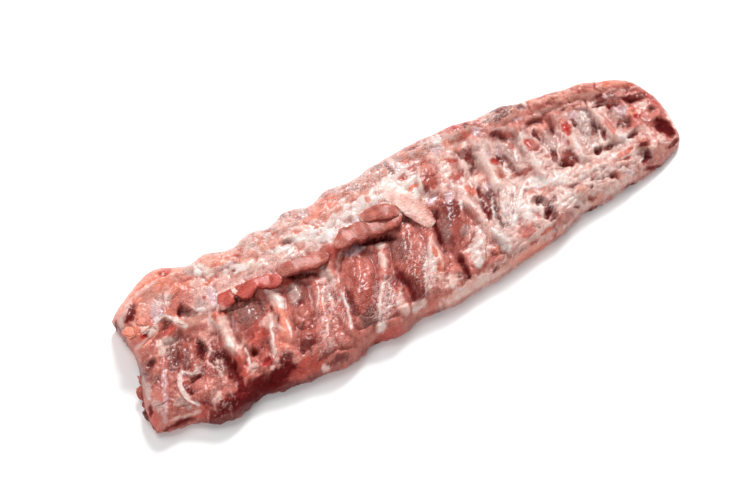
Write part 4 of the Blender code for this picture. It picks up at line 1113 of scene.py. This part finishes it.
def make_rack():
    """The rack's own skin: form, then paint, then the fine rise that follows the paint."""
    points, long_cells, cross_cells = rack_points()
    rim_points = points[ring_of(long_cells, cross_cells)]
    sheet_x, sheet_y = paint_marks(points, long_cells, cross_cells)
    coat = painted(sheet_x, sheet_y)
    count = (long_cells + 1) * (cross_cells + 1)
    rise = fine_rise(points, coat, sheet_x, sheet_y)
    rim = np.ones(len(points))
    rim[count:] = 0.0
    rim[:count] = eased(points[:count, 2], *RIM_FADE)
    points[:, 2] = points[:, 2] + rise * rim
    rim_heights = np.tile(rim_points[:, 2], WALL_ROWS)
    swelling = WALL_SHARE * rise[count:] * np.sin(math.pi * points[count:, 2] / rim_heights)
    points[count:, :2] += np.tile(outward_of(rim_points), (WALL_ROWS, 1)) * swelling[:, None]
    # Painted shade: the coat is darkened and reddened in folds and where the skin lies below its
    # surroundings, and paled where it stands above it.
    hollow = FOLD_SHADE * folds(sheet_x, sheet_y) * raggedness(coat)
    below = CAVITY_SHADE * cavities(points[:count], long_cells, cross_cells)
    hollow[:count] = hollow[:count] + np.clip(below, *CAVITY_LIMITS)
    coat = shaded(mottled(coat, sheet_x, sheet_y, FIBRE_TURN), hollow)
    faces = rack_faces(long_cells, cross_cells)
    piece = new_piece(MEAT, points, faces, coat, meat_material())
    piece.data.materials.append(underside_material())
    piece.data.polygons[len(faces) - 1].material_index = 1
    piece.data.polygons[len(faces) - 1].use_smooth = False
    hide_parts(RACK)
    return piece


def ground():
    """A tree of the rack's skin that sight lines can be cast onto."""
    meat = bpy.data.objects[MEAT].data
    corners = [vertex.co.copy() for vertex in meat.vertices]
    return BVHTree.FromPolygons(corners, [tuple(face.vertices) for face in meat.polygons])


def seen_points(tree, marks):
    """For each mark on the sheet, the point of the skin that the camera sees there, in plan millimetres."""
    eye = Vector(placed([EYE])[0])
    found = []
    for x, y in marks:
        target = Vector(placed([(x, y, SHEET_HEIGHT)])[0])
        hit = tree.ray_cast(eye, (target - eye).normalized())[0]
        if hit is None:
            raise RuntimeError(f"the mark at {x:.0f}, {y:.0f} isn't on the rack")
        found.append((hit.x / MM + MIDDLE[0], hit.y / MM + MIDDLE[1], hit.z / MM))
    return np.array(found)


def along_path(path, count):
    """The columns of a path's points, joined by smooth curves and read at evenly spaced places."""
    path = np.array(path, float)
    steps = np.hypot(*np.diff(path[:, :2], axis=0).T)
    shares = np.concatenate([[0.0], np.cumsum(steps)]) / steps.sum()
    at = np.linspace(0.0, 1.0, count)
    return np.column_stack([smooth(at, shares, path[:, column]) for column in range(path.shape[1])])


def evened(values, reach):
    """A running mean over so many neighbours each side, with the ends held."""
    kernel = np.ones(2 * reach + 1) / (2 * reach + 1)
    return np.convolve(np.pad(values, reach, mode="edge"), kernel, mode="valid")


def carried(tree, path, lift, rows, sides, reach, flatness, seed):
    """A strip: a section carried along a path over the skin, flat side to STRIP_UP, closed at both ends.

    The section is an oval whose sine and cosine are raised to the flatness, and noise unevens its edge.
    Its middle is lifted towards the camera, so it still shows at its marks. Gives its points, its faces and
    how each point lies: distance along, distance across, -1 to 1 from end to end, and -1 to 1 from the edge
    on the path's right to the one on its left.
    """
    marks = along_path(path, rows)
    middle = seen_points(tree, marks[:, :2])
    middle = np.column_stack([evened(middle[:, axis], reach) for axis in (0, 1, 2)])
    middle = middle + np.array(TO_EYE) * (lift / TO_EYE[2])
    run = np.gradient(middle, axis=0)
    run = run / np.linalg.norm(run, axis=1)[:, None]
    across = np.cross(run, STRIP_UP)
    across = across / np.linalg.norm(across, axis=1)[:, None]
    up = np.cross(across, run)
    share = np.linspace(0.0, 1.0, rows)
    ends = np.sqrt(np.clip(1.0 - np.abs(2.0 * share - 1.0) ** 6, 0.0, 1.0))
    angle = np.linspace(0.0, 2.0 * math.pi, sides, endpoint=False)
    arc = share[:, None] * np.hypot(*np.ptp(marks[:, :2], axis=0)) + 0.0 * angle
    around = 6.0 * np.cos(angle) + 0.0 * arc
    uneven = 1.0 + 0.15 * cloud(arc, around, 5.0, seed) + 0.03 * swell(arc / 3.0, around, 1.5, seed + 7)
    flat_cos = np.sign(np.cos(angle)) * np.abs(np.cos(angle)) ** flatness
    flat_sin = np.sign(np.sin(angle)) * np.abs(np.sin(angle)) ** flatness
    half_width = (marks[:, 2] * ends)[:, None] * uneven
    half_height = (marks[:, 3] * ends)[:, None] * (0.6 + 0.4 * uneven)
    shape = middle[:, None] + across[:, None] * (half_width * flat_cos)[..., None]
    shape = shape + up[:, None] * (half_height * flat_sin)[..., None]
    faces = grid_faces(rows, sides, True)[:, ::-1].tolist()
    end = (2.0 * share - 1.0)[:, None] + 0.0 * arc
    lie = (arc, half_width * flat_cos, end, 0.0 * arc - flat_cos)
    return shape.reshape(-1, 3), faces, [values.ravel() for values in lie]


def blended(points, coat, edge, low, high, seed):
    """The coat with the surrounding paint laid over it as edge, torn by noise, passes from low to high."""
    sheet_x, sheet_y = sheet(points[:, 0], points[:, 1], points[:, 2])
    around = mottled(painted(sheet_x, sheet_y), sheet_x, sheet_y, FIBRE_TURN)
    torn = edge + 0.16 * cloud(sheet_x, sheet_y, 6.0, seed, 3)
    cover = eased(torn, low, high)
    return coat + (around - coat) * cover[:, None]


def at_height(x, y, z):
    """The place at height z that the camera sees at a mark on the sheet."""
    share = (EYE[2] - z) / (EYE[2] - SHEET_HEIGHT)
    return np.array((EYE[0] + (x - EYE[0]) * share, EYE[1] + (y - EYE[1]) * share, z))


def lump(middle, halves, rough, seed):
    """A closed lump: a ball with three half sizes whose radius swells."""
    turn = np.linspace(0.0, 2.0 * math.pi, LUMP_SIDES, endpoint=False)
    fall = np.linspace(0.0, math.pi, LUMP_SIDES // 2 + 1)
    fall_grid, turn_grid = (angle.ravel() for angle in np.meshgrid(fall, turn, indexing="ij"))
    ring = np.sin(fall_grid)
    swelling = cloud(3.0 * turn_grid * ring, 4.0 * fall_grid, 2.0, seed)
    radius = 1.0 + rough * swelling * ring
    ball = np.column_stack([ring * np.cos(turn_grid), ring * np.sin(turn_grid), np.cos(fall_grid)])
    points = middle + ball * radius[:, None] * np.array(halves, float)
    faces = grid_faces(len(fall), LUMP_SIDES, True).tolist()
    return points, faces


def coat_of(tissue, x, y, fibre_scale, seed):
    """One tissue's coat, streaked along x and blotched."""
    coat = np.zeros((len(x), 6)) + palette()[tissue]
    streaks = cloud(x / 6.0, y, fibre_scale, seed, 2)
    blotches = cloud(x, y, 6.0, seed + 5)
    light = 1.0 + 0.26 * streaks * coat[:, 5] + 0.16 * blotches
    coat[:, :3] = np.clip(coat[:, :3] * light[:, None], 0.0, BRIGHTEST)
    return coat


def joined(name, parts, material):
    """One piece from several meshes, each given as points, faces and coat."""
    points, faces, coats, start = [], [], [], 0
    for part_points, part_faces, part_coat in parts:
        points.append(part_points)
        coats.append(part_coat)
        faces.extend([[corner + start for corner in face] for face in part_faces])
        start += len(part_points)
    return new_piece(name, np.concatenate(points), faces, np.concatenate(coats), material)


def make_strips():
    """Strips of skirt meat over the ribs, with painted shade at the near edge and blended in at the others.

    Their paths run along +X, so the edge on their right is the near one.
    """
    tree = ground()
    parts = []
    for number, (tissue, lift, path) in enumerate(SKIRT_STRIPS):
        points, faces, lie = carried(tree, path, lift, **STRIP_MESH, seed=101 + number)
        along, across, end, left = lie
        coat = coat_of(tissue, along, across, fibre_scale=0.8, seed=201 + number)
        # Painted shade: the near edge is darkened toward maroon.
        shade = NEAR_SHADE * eased(-left, *NEAR_EDGE)
        coat = coat + (palette()["maroon"] - coat) * shade[:, None]
        edge = np.maximum(np.abs(end), left)
        parts.append((points, faces, blended(points, coat, edge, *STRIP_BLEND, seed=271 + number)))
    return joined("skirt_strips", parts, strip_material())


def make_tongue():
    """The tongue of fat that hangs over the ribs."""
    tissue, lift, path = FAT_TONGUE
    points, faces, lie = carried(ground(), path, lift, **TONGUE_MESH, seed=131)
    along, across, end, left = lie
    coat = coat_of(tissue, along, across, fibre_scale=2.0, seed=231)
    edge = np.maximum(-end, 0.8 * left)
    coat = blended(points, coat, edge, *TONGUE_BLEND, seed=281)
    return joined("fat_tongue", [(points, faces, coat)], fat_material())


def make_nodules():
    """Round nodules of fat."""
    tree = ground()
    parts = []
    for number, (tissue, middle, halves) in enumerate(NODULES):
        points, faces = lump(seen_points(tree, [middle])[0], halves, rough=0.3, seed=141 + number)
        coat = coat_of(tissue, points[:, 0], points[:, 1], fibre_scale=2.0, seed=241 + number)
        parts.append((points, faces, coat))
    return joined("fat_nodules", parts, fat_material())


def make_strands():
    """Pale strands of membrane and tendon, half sunk in the skin."""
    tree = ground()
    parts = []
    for number, (tissue, half_width, path) in enumerate(STRANDS):
        sized = [(x, y, half_width, STRAND_THICKNESS * half_width) for x, y in path]
        points, faces, lie = carried(tree, sized, STRAND_LIFT, **STRAND_MESH, seed=151 + number)
        parts.append((points, faces, coat_of(tissue, *lie[:2], fibre_scale=1.0, seed=251 + number)))
    return joined("membrane_strands", parts, fat_material())


def make_shreds():
    """Torn shreds of lean that hang out at the broad end."""
    parts = []
    for number, (tissue, mark, height, halves) in enumerate(SHREDS):
        points, faces = lump(at_height(*mark, height), halves, rough=0.35, seed=161 + number)
        coat = coat_of(tissue, points[:, 1], points[:, 0], fibre_scale=1.2, seed=261 + number)
        parts.append((points, faces, coat))
    return joined("torn_shreds", parts, strip_material())


# Materials

class Value:
    """A shader socket that takes part in sums, so that an expression adds its Math nodes."""

    def __init__(self, shader, socket):
        self.shader = shader
        self.socket = socket

    def combined(self, operation, *values):
        return self.shader.node("ShaderNodeMath", {"operation": operation}, *values)

    def __add__(self, other):
        return self.combined("ADD", self, other)

    def __sub__(self, other):
        return self.combined("SUBTRACT", self, other)

    def __rsub__(self, other):
        return self.combined("SUBTRACT", other, self)

    def __mul__(self, other):
        return self.combined("MULTIPLY", self, other)

    __radd__ = __add__
    __rmul__ = __mul__


class Shader:
    """A material's nodes, added one call at a time."""

    def __init__(self, name):
        self.material = bpy.data.materials.new(name)
        self.material.use_nodes = True
        self.tree = self.material.node_tree
        self.surface = self.tree.nodes["Principled BSDF"]

    def fill(self, socket, value):
        """Links a Value to a socket, or sets a plain value on it."""
        if isinstance(value, Value):
            self.tree.links.new(value.socket, socket)
        else:
            socket.default_value = value

    def node(self, kind, settings, *values, output=0, **named):
        """Adds a node: its settings first, then the values or links of its sockets. Gives one output."""
        made = self.tree.nodes.new(kind)
        for setting, value in settings.items():
            setattr(made, setting, value)
        for socket, value in zip(made.inputs, values):
            self.fill(socket, value)
        for title, value in named.items():
            self.fill(made.inputs[title.replace("_", " ")], value)
        return Value(self, made.outputs[output])

    def ramp(self, factor, low, high):
        """0 below low and 1 above high."""
        eased_step = {"interpolation_type": "SMOOTHSTEP"}
        return self.node("ShaderNodeMapRange", eased_step, factor, low, high, 0.0, 1.0)

    def mixed(self, factor, first, second):
        """The first colour with the second over it by the factor."""
        made = self.tree.nodes.new("ShaderNodeMix")
        made.data_type = "RGBA"
        self.fill(made.inputs[0], factor)
        self.fill(made.inputs[6], first)
        self.fill(made.inputs[7], second)
        return Value(self, made.outputs[2])

    def lit(self, colour, amount):
        """The colour made lighter or darker by an amount about 1."""
        return self.node("ShaderNodeVectorMath", {"operation": "SCALE"}, colour, Scale=amount)

    def tinted(self, colour, tint):
        """The colour multiplied by a tint."""
        return self.node("ShaderNodeVectorMath", {"operation": "MULTIPLY"}, colour, tint)

    def held(self, colour, most):
        """The colour held below the most that flesh reflects, so that no part turns chalky."""
        return self.node("ShaderNodeVectorMath", {"operation": "MINIMUM"}, colour, most)

    def finish(self, **values):
        """Sets or links the surface's own sockets and gives the material."""
        for title, value in values.items():
            self.fill(self.surface.inputs[title.replace("_", " ")], value)
        return self.material


def flesh(name, fibre_size, grain, wetness):
    """A wet flesh material that reads the coat: size of its fibre and grain in metres, and its wetness."""
    shader = Shader(name)
    place = shader.node("ShaderNodeTexCoord", {}, output=3)
    tissue = shader.node("ShaderNodeAttribute", {"attribute_name": "tissue"})
    finish = shader.node("ShaderNodeAttribute", {"attribute_name": "finish"})
    parts = shader.tree.nodes.new("ShaderNodeSeparateColor")
    shader.fill(parts.inputs[0], finish)
    wet, fleck_and_glint, fibre = (Value(shader, parts.outputs[index]) for index in range(3))
    across, along = fibre_size
    laid = shader.node(
        "ShaderNodeMapping", {}, place, Rotation=(0.0, 0.0, -math.radians(FIBRE_TURN)),
        Scale=(1.0 / along, 1.0 / across, 1.0 / across),
    )
    fibres = shader.node("ShaderNodeTexNoise", {}, Vector=laid, Scale=1.0, Detail=3.0, Roughness=0.55)
    fine = shader.node("ShaderNodeTexNoise", {}, Vector=place, Scale=1.0 / grain, Detail=3.0, Roughness=0.6)
    broad = shader.node("ShaderNodeTexNoise", {}, Vector=place, Scale=140.0, Detail=3.0, Roughness=0.55)
    field = 0.5 * fine + 0.5 * fibres
    light = shader.ramp(0.35 * broad + 0.65 * field, 0.36, 0.64)
    tint = shader.mixed(light, DARK_TINT, LIGHT_TINT)
    # Pale flecks: grains of pale tissue, and partly painted glints of the wet grain.
    pale = shader.ramp(field + 0.11 * fleck_and_glint, 0.565, 0.655) * (0.06 + 0.9 * fleck_and_glint)
    colour = shader.mixed(pale, shader.tinted(tissue, tint), FLECK_AND_GLINT_COLOUR)
    colour = shader.held(colour, PALEST_FLESH)
    height = 0.35 * fibres * fibre + 1.1 * fine + 0.16 * broad + 0.2 * pale
    bump = shader.node("ShaderNodeBump", {}, Strength=1.0, Distance=0.0020, Height=height)
    roughness = 0.60 - 0.34 * wet + 0.3 * (broad - 0.5)
    return shader.finish(
        Base_Color=colour, Roughness=roughness, Normal=bump, Coat_Weight=wetness * wet, Coat_Roughness=0.23,
        Subsurface_Weight=0.35, Subsurface_Radius=(1.0, 0.32, 0.22), Subsurface_Scale=0.0035,
        Specular_IOR_Level=0.1,
    )


def meat_material():
    """Muscle, membrane and fat of the rack, with fibres that lean with the ribs."""
    return flesh("wet_meat", (0.0010, 0.0035), 0.0010, 0.5)


def strip_material():
    """Lean of the skirt strips and shreds."""
    return flesh("strip_meat", (0.0010, 0.005), 0.0012, 0.35)


def fat_material():
    """Smooth greasy fat and membrane."""
    return flesh("smooth_fat", (0.0014, 0.004), 0.0016, 0.45)


def underside_material():
    """The outer side of the rack, which shows only from below: fat with lean showing through."""
    shader = Shader("outer_fat")
    place = shader.node("ShaderNodeTexCoord", {}, output=3)
    islands = shader.node("ShaderNodeTexNoise", {}, Vector=place, Scale=34.0, Detail=5.0, Roughness=0.6)
    fine = shader.node("ShaderNodeTexNoise", {}, Vector=place, Scale=600.0, Detail=3.0)
    lean = shader.ramp(islands, 0.50, 0.60)
    colour = shader.mixed(lean, (0.84, 0.62, 0.56, 1.0), (0.42, 0.13, 0.11, 1.0))
    colour = shader.lit(colour, 0.8 + 0.4 * fine)
    bump = shader.node("ShaderNodeBump", {}, Strength=0.6, Distance=0.0015, Height=islands + 0.2 * fine)
    return shader.finish(
        Base_Color=colour, Roughness=0.3 + 0.3 * fine, Normal=bump, Coat_Weight=0.3, Coat_Roughness=0.12,
        Subsurface_Weight=0.12, Subsurface_Radius=(1.0, 0.35, 0.25), Subsurface_Scale=0.003,
    )


def floor_material(colour):
    """Plain pale floor."""
    shader = Shader("pale_floor")
    return shader.finish(Base_Color=(*linear(colour), 1.0), Roughness=0.8)


# Stage

def soft_sun(name, toward, spread, strength):
    """Distant light from the way that toward points, spread over an angle, so the floor is lit evenly."""
    light = bpy.data.lights.new(name, "SUN")
    light.angle = math.radians(spread)
    light.energy = strength
    lamp = bpy.data.objects.new(name, light)
    lamp.location = toward
    lamp.rotation_euler = (-Vector(toward)).to_track_quat("-Z", "Y").to_euler()
    bpy.context.scene.collection.objects.link(lamp)


def make_floor(settings):
    """A square floor under the rack."""
    mesh = bpy.data.meshes.new("floor")
    reach = 6.0
    corners = [(-reach, -reach, 0.0), (reach, -reach, 0.0), (reach, reach, 0.0), (-reach, reach, 0.0)]
    mesh.from_pydata(corners, [], [(0, 1, 2, 3)])
    mesh.materials.append(floor_material(settings.floor_colour))
    floor = bpy.data.objects.new("floor", mesh)
    bpy.context.scene.collection.objects.link(floor)


def make_camera(settings):
    """The camera at the photograph's place, looking along the sight line."""
    camera = bpy.data.cameras.new("camera")
    camera.lens = settings.lens
    camera.sensor_width = 36.0
    eye = bpy.data.objects.new("camera", camera)
    eye.location = placed([EYE])[0]
    eye.rotation_euler = (-Vector(TO_EYE)).to_track_quat("-Z", "Y").to_euler()
    bpy.context.scene.collection.objects.link(eye)
    bpy.context.scene.camera = eye


def make_sky(settings):
    """Even white light from all round."""
    world = bpy.data.worlds.new("surroundings")
    world.use_nodes = True
    background = world.node_tree.nodes["Background"]
    background.inputs["Color"].default_value = (1.0, 1.0, 1.0, 1.0)
    background.inputs["Strength"].default_value = settings.sky
    bpy.context.scene.world = world
    bpy.context.scene.view_settings.view_transform = "Standard"


# Operators

class RIBS_OT_rack(bpy.types.Operator):
    """Build the rack's skin"""

    bl_idname = "ribs.rack"
    bl_label = "Rack"

    def execute(self, context):
        make_rack()
        return {"FINISHED"}


class RIBS_OT_strips(bpy.types.Operator):
    """Lay the skirt strips over the ribs"""

    bl_idname = "ribs.strips"
    bl_label = "Skirt strips"

    def execute(self, context):
        make_strips()
        return {"FINISHED"}


class RIBS_OT_fat(bpy.types.Operator):
    """Add the fat tongue and the nodules"""

    bl_idname = "ribs.fat"
    bl_label = "Fat"

    def execute(self, context):
        make_tongue()
        make_nodules()
        return {"FINISHED"}


class RIBS_OT_strands(bpy.types.Operator):
    """Add the strands of membrane"""

    bl_idname = "ribs.strands"
    bl_label = "Strands"

    def execute(self, context):
        make_strands()
        return {"FINISHED"}


class RIBS_OT_shreds(bpy.types.Operator):
    """Add the torn shreds at the broad end"""

    bl_idname = "ribs.shreds"
    bl_label = "Shreds"

    def execute(self, context):
        make_shreds()
        return {"FINISHED"}


class RIBS_OT_stage(bpy.types.Operator):
    """Set up the floor, lights and camera"""

    bl_idname = "ribs.stage"
    bl_label = "Stage"

    def execute(self, context):
        settings = context.scene.ribs_stage
        make_floor(settings)
        make_sky(settings)
        make_camera(settings)
        for name, toward, spread, power in LIGHTS:
            soft_sun(name, toward, spread, getattr(settings, power))
        return {"FINISHED"}


class RIBS_PT_panel(bpy.types.Panel):
    """Panel that lists the operators and settings."""

    bl_label = "Raw rack of ribs"
    bl_idname = "RIBS_PT_panel"
    bl_space_type = "VIEW_3D"
    bl_region_type = "UI"
    bl_category = "Ribs"

    def draw(self, context):
        for operator in OPERATORS:
            self.layout.operator(operator.bl_idname)
        for settings in (context.scene.ribs_sizes, context.scene.ribs_tissues, context.scene.ribs_stage):
            for name in settings.__annotations__:
                self.layout.prop(settings, name)


OPERATORS = (RIBS_OT_rack, RIBS_OT_strips, RIBS_OT_fat, RIBS_OT_strands, RIBS_OT_shreds, RIBS_OT_stage)
CLASSES = (RIBS_PG_tissues, RIBS_PG_sizes, RIBS_PG_stage, *OPERATORS, RIBS_PT_panel)


def register():
    for each in CLASSES:
        bpy.utils.register_class(each)
    bpy.types.Scene.ribs_tissues = bpy.props.PointerProperty(type=RIBS_PG_tissues)
    bpy.types.Scene.ribs_sizes = bpy.props.PointerProperty(type=RIBS_PG_sizes)
    bpy.types.Scene.ribs_stage = bpy.props.PointerProperty(type=RIBS_PG_stage)


def unregister():
    del bpy.types.Scene.ribs_stage
    del bpy.types.Scene.ribs_sizes
    del bpy.types.Scene.ribs_tissues
    for each in reversed(CLASSES):
        bpy.utils.unregister_class(each)


def main():
    register()
    bpy.ops.ribs.rack()
    bpy.ops.ribs.strips()
    bpy.ops.ribs.fat()
    bpy.ops.ribs.strands()
    bpy.ops.ribs.shreds()
    bpy.ops.ribs.stage()


if __name__ == "__main__":
    main()
